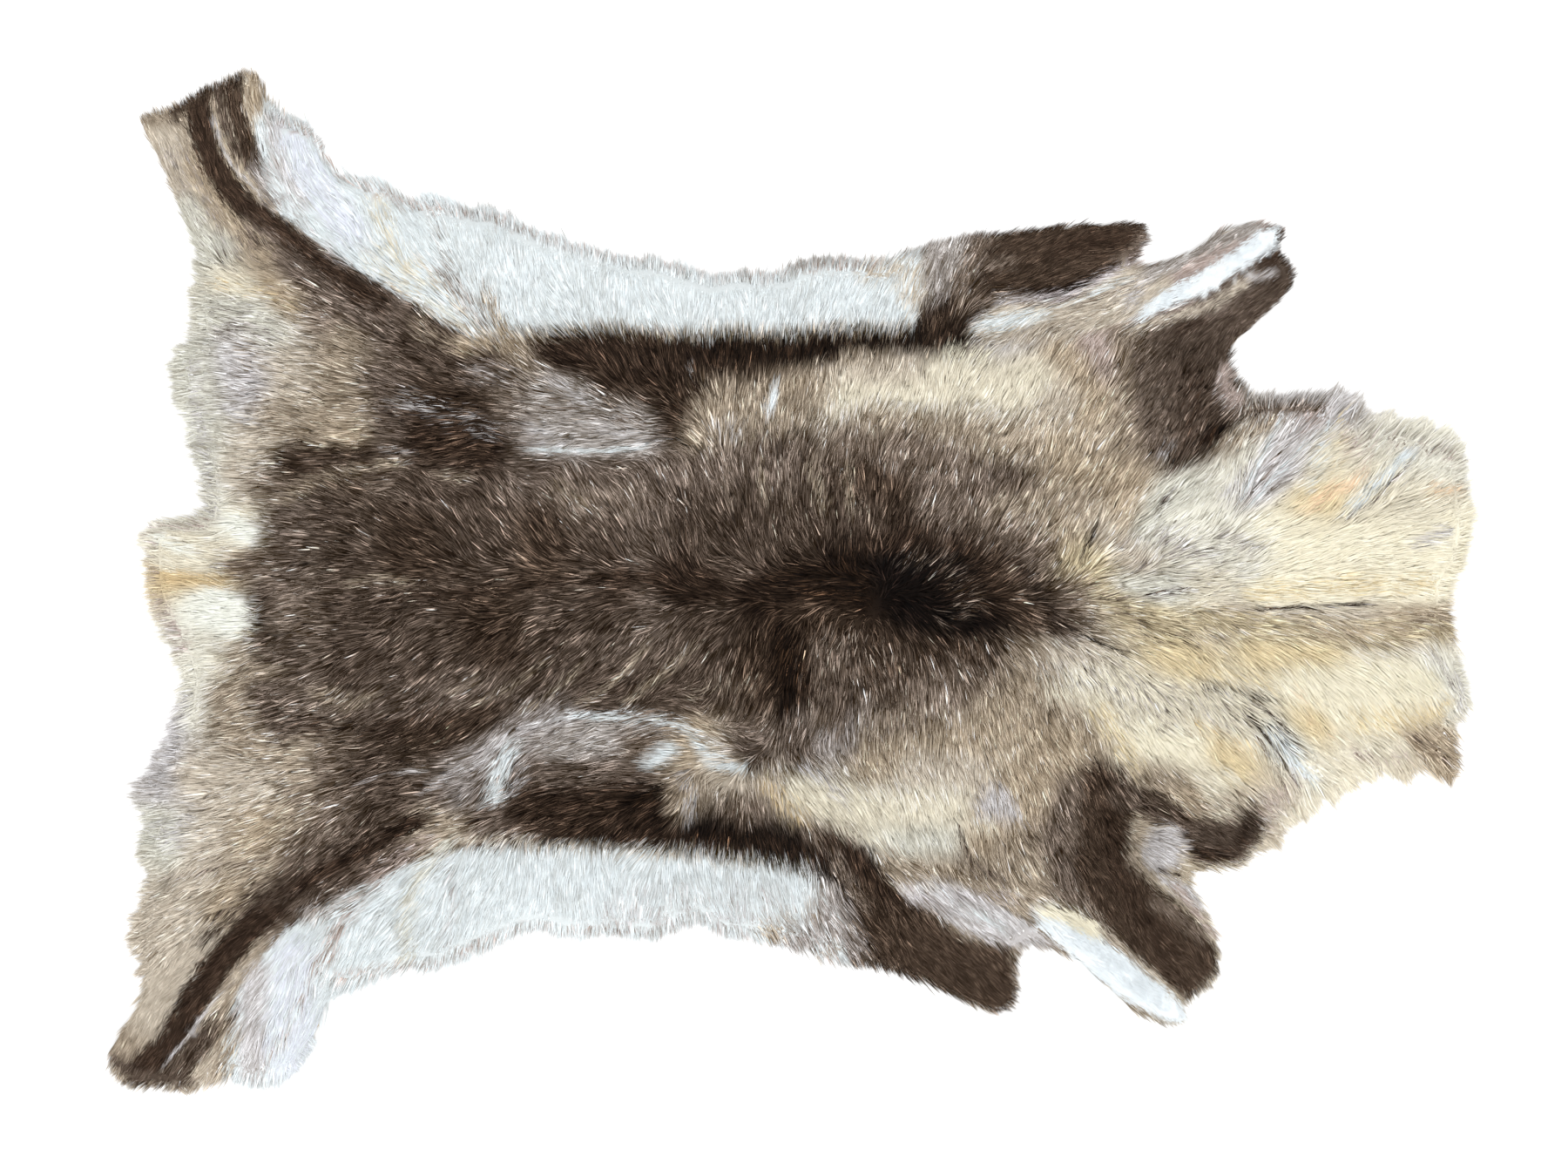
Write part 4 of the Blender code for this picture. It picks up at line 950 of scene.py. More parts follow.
    ("white", 0.6, 22, 12, (870, 998), (900, 1004), (924, 1012)),
    ("fawn", 0.7, 18, 10, (350, 1044), (380, 1032), (400, 1020)),
    # more on the lower hind leg
    ("cool white", 0.6, 26, 26, (336, 1100), (336, 1160), (322, 1216)),
    ("rose grey", 0.35, 16, 6, (366, 1100), (340, 1160), (300, 1230)),
    ("tan", 0.6, 20, 10, (296, 1090), (270, 1124), (252, 1156), (256, 1196)),
    ("silver", 0.5, 18, 9, (290, 1140), (284, 1190), (292, 1236)),
    # more on the lower stifle and belly
    ("rose grey", 0.55, 12, 5, (378, 1126), (450, 1112), (490, 1112), (540, 1088), (600, 1068),
     (700, 1070), (860, 1080), (960, 1102)),  # lower belly rim
    ("grey", 0.75, 26, 12, (900, 1088), (936, 1082), (968, 1072)),
    ("brown", 0.7, 22, 9, (960, 990), (976, 1018), (990, 1040)),
    ("silver", 0.45, 30, 14, (700, 1050), (760, 1056), (840, 1062), (900, 1060)),
    ("roan", 0.7, 18, 10, (352, 1052), (384, 1040), (416, 1026)),
    ("saddle", 0.6, 18, 10, (300, 1036), (330, 1026)),
    ("tan", 0.7, 30, 16, (884, 1076), (930, 1062), (950, 1052)),
    ("grey", 0.8, 34, 16, (915, 1080), (950, 1062), (962, 1040)),
    # more on the lower armpit and flap
    ("umber", 0.8, 18, 10, (950, 960), (972, 971), (990, 988)),
    ("tan", 0.8, 24, 14, (1020, 984), (1036, 1010), (1084, 1000)),
    ("fawn", 0.6, 18, 9, (1104, 990), (1128, 1000), (1146, 1010)),
    ("lilac", 0.4, 16, 9, (1040, 1022), (1070, 1034), (1160, 1030)),
    # more on the lower flank
    ("cream", 0.6, 16, 9, (968, 950), (990, 956), (1004, 962)),
    # the upper stifle and belly
    ("silver", 0.4, 16, 6, (304, 196), (345, 250), (392, 300)),
    ("silver", 0.45, 12, 4, (322, 146), (334, 186), (366, 232), (430, 296)),
    ("rose grey", 0.4, 14, 5, (440, 322), (496, 354), (542, 386)),
    ("pale tan", 0.65, 22, 14, (1000, 306), (1036, 306), (1050, 345)),
    ("fawn", 0.6, 26, 12, (594, 440), (598, 500), (590, 545)),
    # more on the upper flank and shoulder
    ("pale tan", 0.7, 10, 4, (520, 370), (570, 388), (630, 386)),
    # More of the upper flank line: dark coat and painted shadow of the overhang.
    ("umber", 0.8, 10, 5, (640, 389), (700, 386), (800, 392)),
    ("brown", 0.5, 24, 12, (1268, 430), (1284, 442)),
    ("ivory", 0.5, 18, 10, (1090, 408), (1130, 408)),
    # more on the upper stifle and belly
    ("pearl", 0.5, 20, 10, (425, 300), (470, 334), (530, 372)),
    ("roan", 0.6, 30, 16, (510, 318), (534, 346), (558, 376)),
    ("roan", 0.4, 12, 5, (502, 250), (508, 304), (540, 352), (556, 378)),
    ("pale tan", 0.5, 12, 5, (480, 296), (512, 336), (548, 376)),
    ("tan", 0.7, 22, 10, (584, 388), (568, 364), (558, 340)),
    ("sand", 0.8, 22, 12, (528, 396), (556, 390), (592, 396)),
    ("sand", 0.55, 8, 3, (440, 322), (490, 354), (540, 386), (590, 386)),
    ("cream", 0.5, 30, 14, (434, 232), (438, 262), (452, 290), (480, 320)),
    ("sand", 0.5, 12, 5, (596, 388), (640, 381), (700, 377), (770, 384), (850, 381),
     (905, 386), (935, 379), (1040, 378)),
    ("tan", 0.5, 24, 12, (486, 378), (500, 384)),
    ("grey", 0.5, 30, 12, (548, 430), (588, 428)),
    # more on the upper hind leg
    ("silver", 0.7, 7, 2.4, (243, 136), (250, 158), (261, 182), (280, 206), (300, 222)),
    ("saddle", 0.85, 8, 7, (248, 104), (257, 140), (270, 178)),
    ("cool white", 0.7, 30, 18, (336, 160), (360, 210), (404, 264)),
    # more on the upper stifle and belly
    ("rose grey", 0.6, 12, 5, (322, 136), (362, 156), (388, 200), (430, 216), (472, 234),
     (560, 248), (640, 273), (720, 292), (860, 314), (1010, 300)),  # upper belly rim
    # more on the upper flank and shoulder
    # More of the upper flank line: dark coat and painted shadow of the overhang.
    ("black brown", 0.5, 12, 7, (900, 394), (950, 394), (1010, 394)),
)


# %% Laying the markings one over the other
MARK_SHARP = 4.0


def lay_coat(places, chance):
    """The coat's colour at flat places. chance is each strand's own, from 0 to 1."""
    at = pixels(places)
    colour = read_net(ground_net, places)
    for name, share, edge, width, *points in BELLIES + MARKS:
        points = np.array(points, float)
        reach = width + edge
        near = np.nonzero(
            ((at > points.min(0) - reach) & (at < points.max(0) + reach)).all(1))[0]
        if width:
            inward = width - line_distance(at[near], points)
        else:
            inward = depth_inside(at[near], points)
        cover = share * half_way(inward, edge)
        cover = np.clip((cover - chance[near]) * MARK_SHARP + cover, 0, 1)
        colour[near] += (linear(name) - colour[near]) * cover[:, None]
    return colour


print(len(MARKS), "marks on the ground and the bellies")

# %% [markdown]
# ## Locks, tufts and chance
#
# Hair never lies quite evenly. Neighbouring strands cling together into tufts, and
# their tips lean towards one another, which gives fur its soft steps of light and
# shade. Each strand belongs to the nearest tuft, and takes part of its turn, length
# and shade from it. Wisps are finer, a few hairs wide and long along the hair, and
# share a shade too. All chance comes from one seeded generator, so that the hide is
# the same each time.

# %% Tufts and slow changes over the coat
SEED = 11
rng = np.random.default_rng(SEED)


def scattered(step):
    """One place in each cell of an even net, at random within its cell."""
    count = np.ceil(net_count * NET_STEP / step).astype(int)
    cells = np.stack(np.meshgrid(*[np.arange(size) for size in count], indexing="ij"), -1)
    return net_low + (cells + rng.random(cells.shape)) * step


def nearest_tuft(places, tufts, step, slim=1):
    """The index of each place's nearest tuft. Slim ones count less along the hair."""
    cell = ((places - net_low) / step).astype(int)
    lie = read_net(lie_net, places) * math.sqrt(1 - 1 / slim ** 2)
    best = np.full(len(places), np.inf)
    found = np.zeros(len(places), int)
    shifts = range(-slim, slim + 1)
    for shift_x in shifts:
        for shift_y in shifts:
            index = np.clip(cell + (shift_x, shift_y), 0, np.array(tufts.shape[:2]) - 1)
            offset = tufts[index[:, 0], index[:, 1]] - places
            gap = (offset ** 2).sum(axis=1) - (offset * lie).sum(axis=1) ** 2
            closer = gap < best
            best[closer] = gap[closer]
            found[closer] = (index[:, 0] * tufts.shape[1] + index[:, 1])[closer]
    return found


def drift(places, size):
    """Values from -1 to 1 that change slowly, over about size metres."""
    count = np.ceil(net_count * NET_STEP / size).astype(int) + 2
    values = rng.uniform(-1, 1, count)
    at = (places - net_low) / size
    cell = at.astype(int)
    share = smooth(at - cell)
    rows = [values[cell[:, 0] + step, cell[:, 1]] * (1 - share[:, 1])
            + values[cell[:, 0] + step, cell[:, 1] + 1] * share[:, 1] for step in (0, 1)]
    return rows[0] * (1 - share[:, 0]) + rows[1] * share[:, 0]


# %% [markdown]
# ## How long the hair grows
#
# On the back the guard hair is about as long as a thumb joint. It is longer on the
# bellies, the neck and the tail, and short and dense down the legs. The same kind of
# table as the markings' says where.

# %% Lengths of hair
# A row is the length in millimetres, the edge, the half width and the points.
BACK_HAIR = 24 * MM
GROWTHS = (
    (27, 20, 34, (330, 200), (430, 260), (560, 330), (1040, 335)),  # upper belly
    (27, 20, 36, (300, 1180), (400, 1080), (520, 1020), (940, 1030)),  # lower belly
    (26, 30, 20, (220, 320), (215, 450), (245, 580)),  # upper haunch edge
    (30, 30, 24, (215, 790), (180, 900), (170, 1060)),  # lower haunch edge
    (30, 20, 34, (190, 625), (270, 640)),  # tail
    (28, 24, 26, (215, 700), (240, 740)),  # rump
    (30, 60, 90, (1480, 590), (1600, 660), (1500, 800)),  # neck
    (38, 24, 22, (1460, 500), (1560, 510), (1680, 530)),  # neck fringe, upper
    (38, 24, 22, (1430, 870), (1560, 860), (1660, 850)),  # neck fringe, lower
    (28, 20, 16, (1680, 560), (1670, 700), (1680, 800)),  # neck end
    (15, 30, 40, (200, 120), (250, 230), (330, 290)),  # upper hind leg
    (16, 20, 14, (330, 280), (470, 360)),  # upper stifle line
    (28, 20, 14, (330, 180), (390, 240)),  # upper leg, inner hair
    (15, 30, 38, (160, 1200), (220, 1120), (330, 1040)),  # lower hind leg
    (32, 24, 22, (300, 1200), (340, 1100)),  # lower leg, inner hair
    (14, 24, 30, (1150, 300), (1300, 275)),  # upper flap
    (26, 16, 16, (1130, 372), (1280, 330)),  # upper armpit
    (14, 30, 44, (1330, 480), (1370, 400), (1460, 310)),  # upper foreleg
    (10, 12, 12, (1300, 360), (1460, 265)),  # upper foreleg strip
    (14, 24, 30, (1060, 1080), (1150, 1130)),  # lower flap
    (26, 16, 18, (1050, 1010), (1180, 1080)),  # lower armpit
    (14, 30, 40, (1260, 940), (1300, 1030), (1370, 1110)),  # lower foreleg
    (10, 12, 12, (1220, 1056), (1350, 1162)),  # lower foreleg strip
    (14, 16, 20, (1370, 950), (1430, 965)),  # lower small toe
)


def hair_length(places):
    """The length of the hair at flat places."""
    at = pixels(places)
    length = np.full(len(at), BACK_HAIR)
    for grown, edge, width, *points in GROWTHS:
        inward = width - line_distance(at, points)
        length += (grown * MM - length) * half_way(inward, edge)
    return length


length_net = hair_length(net)
print("hair", round(float(length_net.min()) / MM), "to",
      round(float(length_net.max()) / MM), "mm")

# %% [markdown]
# ## Growing the guard hair
#
# A strand could be a tube, but seen from a step away it is a narrow blade that tapers
# to its tip, and a blade takes two triangles where a tube takes dozens. Roots are
# spread evenly and densely over the skin, closer together where the hair is short, so
# that the coat is as thick everywhere. From its root a blade rises out of the wool,
# bends over and follows the comb. Near the rim it is cut to about the length of the
# slab's locks.

# %% Where the roots are
STRAND_COUNT = 440000
ROOT_STEP = 1.0 * MM
SKIN_MARGIN = 1.5 * MM
TUFT_STEP = 7 * MM
WISP_STEP = 1.8 * MM
WISP_SLIM = 4


def spread_roots():
    """Flat places of the roots, densest where the hair is shortest."""
    roots = scattered(ROOT_STEP).reshape(-1, 2)
    roots = roots[read_net(skin_net, roots) > SKIN_MARGIN]
    need = 1 / read_net(length_net, roots)
    keep = need * STRAND_COUNT / need.sum()
    return roots[rng.random(len(roots)) < keep]


roots = spread_roots()
tufts = scattered(TUFT_STEP)
wisps = scattered(WISP_STEP)
root_tuft = nearest_tuft(roots, tufts, TUFT_STEP)
root_wisp = nearest_tuft(roots, wisps, WISP_STEP, WISP_SLIM)
print(len(roots), "strands in", len(np.unique(root_tuft)), "tufts")

# %% How each strand runs
TURN_SPREAD = math.radians(5)
TUFT_TURN = math.radians(7)
DRIFT_TURN = math.radians(12)
DRIFT_SIZE = 30 * MM
RAGGED_TURN = math.radians(80)
RAGGED_SHORT = 0.6
LENGTH_SPREAD = 0.16
TUFT_LENGTH = 0.14
LENGTH_LIMITS = (0.5, 1.5)
CLING = 0.3
MIDDLE_CLING = 0.5
TUFT_HOLD = 0.5
MIDDLE_HOLD = 0.75
SPILL = (-3 * MM, 11 * MM)
CUTS = (0.86, 0.72, 0.58, 0.44, 0.3)


def turned(ways, angle):
    """Flat directions, each turned by its angle."""
    cos, sin = np.cos(angle), np.sin(angle)
    return np.stack((ways[:, 0] * cos - ways[:, 1] * sin,
                     ways[:, 0] * sin + ways[:, 1] * cos), axis=1)


def lie_at(places):
    """The way the tips point at flat places, one long."""
    lie = read_net(lie_net, places)
    return lie / np.maximum(np.hypot(*lie.T), TINY)[:, None]


def run_strand(places, length, turn):
    """The middles and tips of strands that follow the comb from their roots."""
    half = length[:, None] / 2
    middles = places + turned(lie_at(places), turn) * half
    return middles, middles + turned(lie_at(middles), turn) * half


def grow(places, tuft):
    """Middles and tips of strands, drawn to their tufts and cut near the rim."""
    centre = tufts.reshape(-1, 2)
    tuft_turn = rng.normal(0, TUFT_TURN, len(centre))
    tuft_turn += DRIFT_TURN * drift(centre, DRIFT_SIZE)
    tuft_share = 1 + rng.normal(0, TUFT_LENGTH, len(centre))
    tuft_length = read_net(length_net, centre) * tuft_share
    tuft_middle, tuft_tip = run_strand(centre, tuft_length, tuft_turn)
    unrest = (1 - read_net(calm_net, places)) ** 2
    spread = TURN_SPREAD + RAGGED_TURN * unrest
    turn = tuft_turn[tuft] + rng.normal(0, 1, len(places)) * spread
    length = read_net(length_net, places) * tuft_share[tuft]
    length *= 1 - RAGGED_SHORT * unrest
    length *= np.clip(1 + rng.normal(0, LENGTH_SPREAD, len(places)), *LENGTH_LIMITS)
    spill = SPILL[0] + (SPILL[1] - SPILL[0]) * rng.random(len(places)) ** 2
    offset = places - centre[tuft]

    def reach(share):
        """Middles and tips at a share of the strands' lengths."""
        middles, tips = run_strand(places, length * share, turn)
        cling = (CLING * share)[:, None]
        held = tuft_middle[tuft] + offset * MIDDLE_HOLD
        middles += (held - middles) * cling * MIDDLE_CLING
        tips += (tuft_tip[tuft] + offset * TUFT_HOLD - tips) * cling
        return middles, tips

    share = np.ones(len(places))
    middles, tips = reach(share)
    for cut in CUTS:
        over = read_net(rim_net, tips) < -spill
        share[over] = cut
        cut_middles, cut_tips = reach(share)
        middles[over], tips[over] = cut_middles[over], cut_tips[over]
    return middles, tips


middles, tips = grow(roots, root_tuft)
print("mean strand", round(float(np.hypot(*(tips - roots).T).mean()) / MM, 1), "mm")

# %% [markdown]
# ## Locks at the rim
#
# Along the bellies, the haunches, the tail and the neck the outermost hair hangs over
# the skin's edge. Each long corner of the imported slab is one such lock. It becomes a
# sheaf of fine strands that start under the fur and spread to the corner's point.

# %% A sheaf of strands for each lock
SHEAF = 85
SHEAF_DEPTH = (1 * MM, 9 * MM)
SHEAF_REACH = (0.45, 1.12)
SHEAF_WIDTH = 0.9
SHEAF_HOLD = 0.6
SHEAF_STRAY = 1.6 * MM


def lock_sheaves():
    """Roots, middles and tips of the strands of all locks."""
    corner = np.nonzero(is_lock)[0]
    point, left, right = rim[corner], rim[corner - 1], rim[(corner + 1) % len(rim)]
    base = (left + right) / 2
    out = point - base
    reach = np.hypot(*out.T)[:, None]
    out = out / reach
    pick = np.repeat(np.arange(len(corner)), SHEAF)
    across = rng.uniform(-SHEAF_WIDTH, SHEAF_WIDTH, len(pick))[:, None]
    across = (right - left)[pick] * across
    depth = rng.uniform(*SHEAF_DEPTH, len(pick))[:, None]
    start = base[pick] + across - out[pick] * depth
    share = rng.uniform(*SHEAF_REACH, len(pick))[:, None]
    end = base[pick] + across * SHEAF_HOLD + out[pick] * reach[pick] * share
    end += rng.normal(0, SHEAF_STRAY, end.shape) * share
    bend = rng.normal(0, SHEAF_STRAY / 2, end.shape)
    return start, (start + end) / 2 + bend, end


lock_roots, lock_middles, lock_tips = lock_sheaves()
root_tuft = np.append(root_tuft, nearest_tuft(lock_roots, tufts, TUFT_STEP))
root_wisp = np.append(root_wisp, nearest_tuft(lock_roots, wisps, WISP_STEP, WISP_SLIM))
roots = np.concatenate((roots, lock_roots))
middles = np.concatenate((middles, lock_middles))
tips = np.concatenate((tips, lock_tips))
print(len(lock_roots), "strands in", int(is_lock.sum()), "locks,", len(roots), "in all")

# %% Heights: out of the wool, over, and down to the tip
ROOT_SHARE = 0.35
MIDDLE_SINK = 0.1
TUFT_RISE = 0.8 * MM
STRAND_RISE = 0.6 * MM
MIDDLE_RISE = 0.6
SHORT_PILE = 0.2
LOWEST = 0.4 * MM


def strand_heights():
    """The heights of roots, middles and tips above the floor."""
    lift = rng.normal(0, TUFT_RISE, tufts[..., 0].size)[root_tuft]
    lift += rng.normal(0, STRAND_RISE, len(roots))
    pile = [read_net(pile_net, places) for places in (roots, middles, tips)]
    short = np.clip(pile[0] / pile_net.max(), SHORT_PILE, 1)
    heights = (
        pile[0] * ROOT_SHARE,
        pile[1] * (1 - MIDDLE_SINK) + lift * short * MIDDLE_RISE,
        pile[2] + lift * short,
    )
    return [np.maximum(height, LOWEST) for height in heights]


heights = strand_heights()
paths = [np.column_stack(pair) for pair in zip((roots, middles, tips), heights)]
print("tips up to", round(float(heights[2].max()) / MM, 1), "mm")

# %% [markdown]
# ## Colouring the strands
#
# The coat's map is read where the strand's middle lies, and partly where its root and
# tip lie, so a marking's edge follows the hair. Then come the differences between
# strands: a wisp is a little lighter or darker than the next, a few hairs are
# bleached and a few are black, and every strand is darker down in the coat, where
# little light gets in. Light strands are held back a little, because a bright hair
# catches the eye more than a dark one, and the whole is lifted by as much.

# %% Strand colours from root to tip
OWN_SHARE = 0.9
WISP_HOLD = 0.65
WISP_SHADE = 0.26
TUFT_SHADE = 0.09
STRAND_SHADE = 0.3
SLOW_SHADE = 0.1
SLOW_SIZES = (40 * MM, 15 * MM)
DARK_GAIN = 3.4
PALE_GAIN = 0.05
ROOT_SHADE = 0.7
MIDDLE_SHADE = 0.9
TIP_SHADE = 1.1
PALE_TIPS = 0.3
PALE_TIP_SHADE = (1.15, 2.0)
LIGHT_HELD = 0.8
LIFT = 0.1
PALEST = 0.93
PALE_TINT = np.array((0.93, 1.0, 1.1))
SHORT_EVEN = 0.5


def uneven(paleness):
    """How strongly strands differ: much in dark hair, little in white hair."""
    return PALE_GAIN + DARK_GAIN * (1 - paleness) ** 2


def strand_colours():
    """Linear colours at the root, middle and tip of each strand."""
    count, wisp_count = tufts[..., 0].size, wisps[..., 0].size
    chance = np.where(
        rng.random(len(roots)) < WISP_HOLD,
        rng.random(wisp_count)[root_wisp],
        rng.random(len(roots)),
    )
    at_middle = lay_coat(middles, chance)
    ends = [lay_coat(places, chance) for places in (roots, tips)]
    shade = SLOW_SHADE * sum(drift(roots, size) for size in SLOW_SIZES)
    shade += rng.normal(0, WISP_SHADE, wisp_count)[root_wisp]
    shade += rng.normal(0, TUFT_SHADE, count)[root_tuft]
    shade += rng.normal(0, STRAND_SHADE, len(roots))
    shade = np.where(shade > 0, shade * LIGHT_HELD, shade)
    spread = uneven(at_middle.max(axis=1))
    spread *= np.clip(read_net(length_net, roots) / BACK_HAIR, SHORT_EVEN, 1)
    mean_rise = (WISP_SHADE ** 2 + TUFT_SHADE ** 2 + STRAND_SHADE ** 2) / 2
    gain = np.exp((shade + LIFT - mean_rise * spread) * spread)[:, None]
    pale_tip = np.where(rng.random(len(roots)) < PALE_TIPS,
                        rng.uniform(*PALE_TIP_SHADE, len(roots)), TIP_SHADE)
    colours = []
    levels = ((ends[0], ROOT_SHADE), (at_middle, MIDDLE_SHADE), (ends[1], pale_tip))
    for own, depth in levels:
        depth = 1 + (depth - 1) * np.minimum(spread, 1)
        mixed = at_middle + (own - at_middle) * OWN_SHARE
        change = 1 + (gain * depth[:, None] - 1) * PALE_TINT
        colours.append(np.clip(mixed * change, 0, PALEST))
    return colours


colours = strand_colours()
print("mean colour at the middle", np.round(colours[1].mean(axis=0), 3))

# %% [markdown]
# ## One finish for all the hair
#
# Hair is dull to satin. It shines only a little, which a roughness of a little over a
# half and a weak specular level give. Its colour comes from the strands themselves,
# and a fine noise along the hide varies it and its roughness, because no two hairs
# are equally clean or worn.

# %% The hair's material
HAIR_LAYER = "hair_colour"
HAIR_SHINE = 0.08
VALUE_SPREAD = 0.1
ROUGH_SPREAD = 0.08


def new_finish(name, shine):
    """A new material with a weak shine: itself, its nodes and its main shader."""
    finish = bpy.data.materials.new(name)
    finish.use_nodes = True
    shader = finish.node_tree.nodes["Principled BSDF"]
    shader.inputs["Specular IOR Level"].default_value = shine
    return finish, finish.node_tree.nodes, shader


def add_node(nodes, kind, **settings):
    """A new shader node with some of its settings and inputs."""
    node = nodes.new(kind)
    for name, value in settings.items():
        if hasattr(node, name):
            setattr(node, name, value)
        else:
            node.inputs[name.replace("_", " ")].default_value = value
    return node


def join(finish, *pairs):
    """Links from a node's output to a node's input, each pair in one row."""
    for source, output, target, entry in pairs:
        finish.node_tree.links.new(source.outputs[output], target.inputs[entry])


def make_hair_finish(name, roughness, grain_scale):
    """Colour from the mesh, varied by noise, with a weak satin shine."""
    finish, nodes, shader = new_finish(name, HAIR_SHINE)
    colour = add_node(nodes, "ShaderNodeVertexColor", layer_name=HAIR_LAYER)
    place = add_node(nodes, "ShaderNodeTexCoord")
    grain = add_node(nodes, "ShaderNodeTexNoise", Scale=grain_scale, Detail=3.0)
    value = add_node(nodes, "ShaderNodeMapRange", To_Min=1 - VALUE_SPREAD,
                     To_Max=1 + VALUE_SPREAD)
    tone = add_node(nodes, "ShaderNodeHueSaturation")
    rough = add_node(nodes, "ShaderNodeMapRange", To_Min=roughness - ROUGH_SPREAD,
                     To_Max=roughness + ROUGH_SPREAD)
    join(finish,
         (place, "Object", grain, "Vector"),
         (grain, "Fac", value, "Value"),
         (grain, "Fac", rough, "Value"),
         (colour, "Color", tone, "Color"),
         (value, "Result", tone, "Value"),
         (tone, "Color", shader, "Base Color"),
         (rough, "Result", shader, "Roughness"))
    return finish


hair_finish = make_hair_finish("guard_hair", roughness=0.6, grain_scale=220.0)
print(hair_finish.name, "has", len(hair_finish.node_tree.nodes), "shader nodes")

# %% [markdown]
# ## Making the hair into meshes
#
# Hundreds of thousands of strands as objects would stop any program, so they are
# joined into a few meshes straight from the arrays. The hair is parted lengthwise as
# a tanner names a hide: the back, two flanks and two bellies. White hair gets broader
# blades that roll less, because each gap or turned blade would show as a dark tick in
# it. Each piece also gets a texture map in which every strand has a small cell of its
# own, root below and tip above, in the order that the strands lie in.

# %% Blades
BLADE = 0.36 * MM
SHORT_BLADE = 0.6
LONG_BLADE = 1.25
BLADE_SPREAD = (0.7, 1.3)
ROLL = math.radians(9)
PALE_STILL = 0.8
PALE_BROAD = 1.3
PALE_STEEP = 4
CORNERS = 4
TRIANGLES = (0, 2, 1, 1, 2, 3)
CORNER_LEVELS = (0, 1, 1, 2)
CELLS = 308
CELL_EDGE = 0.15
MAP_NAME = "OFBake"


def blade_corners(strands):
    """Four corners for each strand: its root, the two sides of its middle, its tip."""
    root, middle, tip = [path[strands] for path in paths]
    along = tip - root
    length = np.maximum(np.linalg.norm(along, axis=1), TINY)[:, None]
    along = along / length
    side = np.cross(along, (0.0, 0.0, 1.0))
    side /= np.maximum(np.linalg.norm(side, axis=1), TINY)[:, None]
    roll = rng.normal(0, ROLL, len(strands))[:, None]
    paleness = colours[1][strands].max(axis=1, keepdims=True)
    roll *= 1 - PALE_STILL * paleness
    side = side * np.cos(roll) + np.cross(side, along) * np.sin(roll)
    size = np.clip(length / BACK_HAIR, SHORT_BLADE, LONG_BLADE)
    size *= 1 + PALE_BROAD * paleness ** PALE_STEEP
    half = side * (BLADE * size * rng.uniform(*BLADE_SPREAD, length.shape))
    corners = np.stack((root, middle - half, middle + half, tip), axis=1)
    corners[..., 2] = np.maximum(corners[..., 2], LOWEST / 2)
    return corners


def strand_cells(count):
    """The texture places of every strand's four corners, one small cell each."""
    index = np.arange(count)
    column, row = index % CELLS, index // CELLS
    near, far = CELL_EDGE, 1 - CELL_EDGE
    cell = np.array(((0.5, near), (near, 0.5), (far, 0.5), (0.5, far)))
    return (np.stack((column, row), axis=1)[:, None, :] + cell) / CELLS


def in_reading_order(strands):
    """Strands sorted into rows across the hide, and along each row."""
    across = np.argsort(middles[strands, 1], kind="stable")
    strands = strands[across]
    row = np.arange(len(strands)) // CELLS
    return strands[np.lexsort((middles[strands, 0], row))]


def paint(mesh, shades):
    """A linear colour, and full cover, kept at each of the mesh's points."""
    layer = mesh.color_attributes.new(HAIR_LAYER, "FLOAT_COLOR", "POINT")
    cover = np.ones((*shades.shape[:-1], 1))
    colour = np.concatenate((shades, cover), axis=-1).astype(np.float32)
    layer.data.foreach_set("color", colour.ravel())


def make_hair(name, strands):
    """One joined mesh of blades, with its colours and its texture map."""
    strands = in_reading_order(strands)
    count = len(strands)
    order = (np.arange(count) * CORNERS)[:, None] + TRIANGLES
    mesh = bpy.data.meshes.new(name)
    mesh.vertices.add(count * CORNERS)
    mesh.vertices.foreach_set("co", blade_corners(strands).astype(np.float32).ravel())
    mesh.loops.add(order.size)
    mesh.loops.foreach_set("vertex_index", order.astype(np.int32).ravel())
    mesh.polygons.add(order.size // 3)
    mesh.polygons.foreach_set("loop_start", np.arange(0, order.size, 3, dtype=np.int32))
    mesh.update(calc_edges=True)
    paint(mesh, np.stack([colours[level][strands] for level in CORNER_LEVELS], axis=1))
    cells = strand_cells(count)[:, TRIANGLES].astype(np.float32)
    mesh.uv_layers.new(name=MAP_NAME).data.foreach_set("uv", cells.ravel())
    mesh.materials.append(hair_finish)
    hair = put(name, mesh)
    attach(hair, "root")
    return hair


BANDS = ("belly_hair_right", "flank_hair_right", "back_hair", "flank_hair_left",
         "belly_hair_left")
bands = np.array_split(np.argsort(middles[:, 1], kind="stable"), len(BANDS))
hair_pieces = [make_hair(name, strands) for name, strands in zip(BANDS, bands)]
for hair in hair_pieces:
    print(hair.name, len(hair.data.polygons), "triangles")

# %% [markdown]
# ## The wool under the hair
#
# Between the guard hairs one sees into the coat, on to a dense wool, and never
# on to bare skin. The wool is a copy of the slab, about three quarters as high, higher
# where the hair is pale, and drawn in from the rim, so that it stays under the hair.
# It is coloured by the same map, darkened as painted shade for the little light
# that gets down between the hairs, most under dark hair.

# %% A lower, lumpy copy of the slab
WOOL_SHARE = 0.7
PALE_WOOL_SHARE = 0.82
WOOL_INSET = 5 * MM
# How much darker the wool is painted, as shade down in the coat under dark hair.
WOOL_PAINTED_SHADE = 0.65
WOOL_LUMP = 0.8 * MM
LUMP_SIZE = 11 * MM
WOOL_FOOT = 1.2 * MM
PULLS = 4
FLAT_SLOPE = 0.25


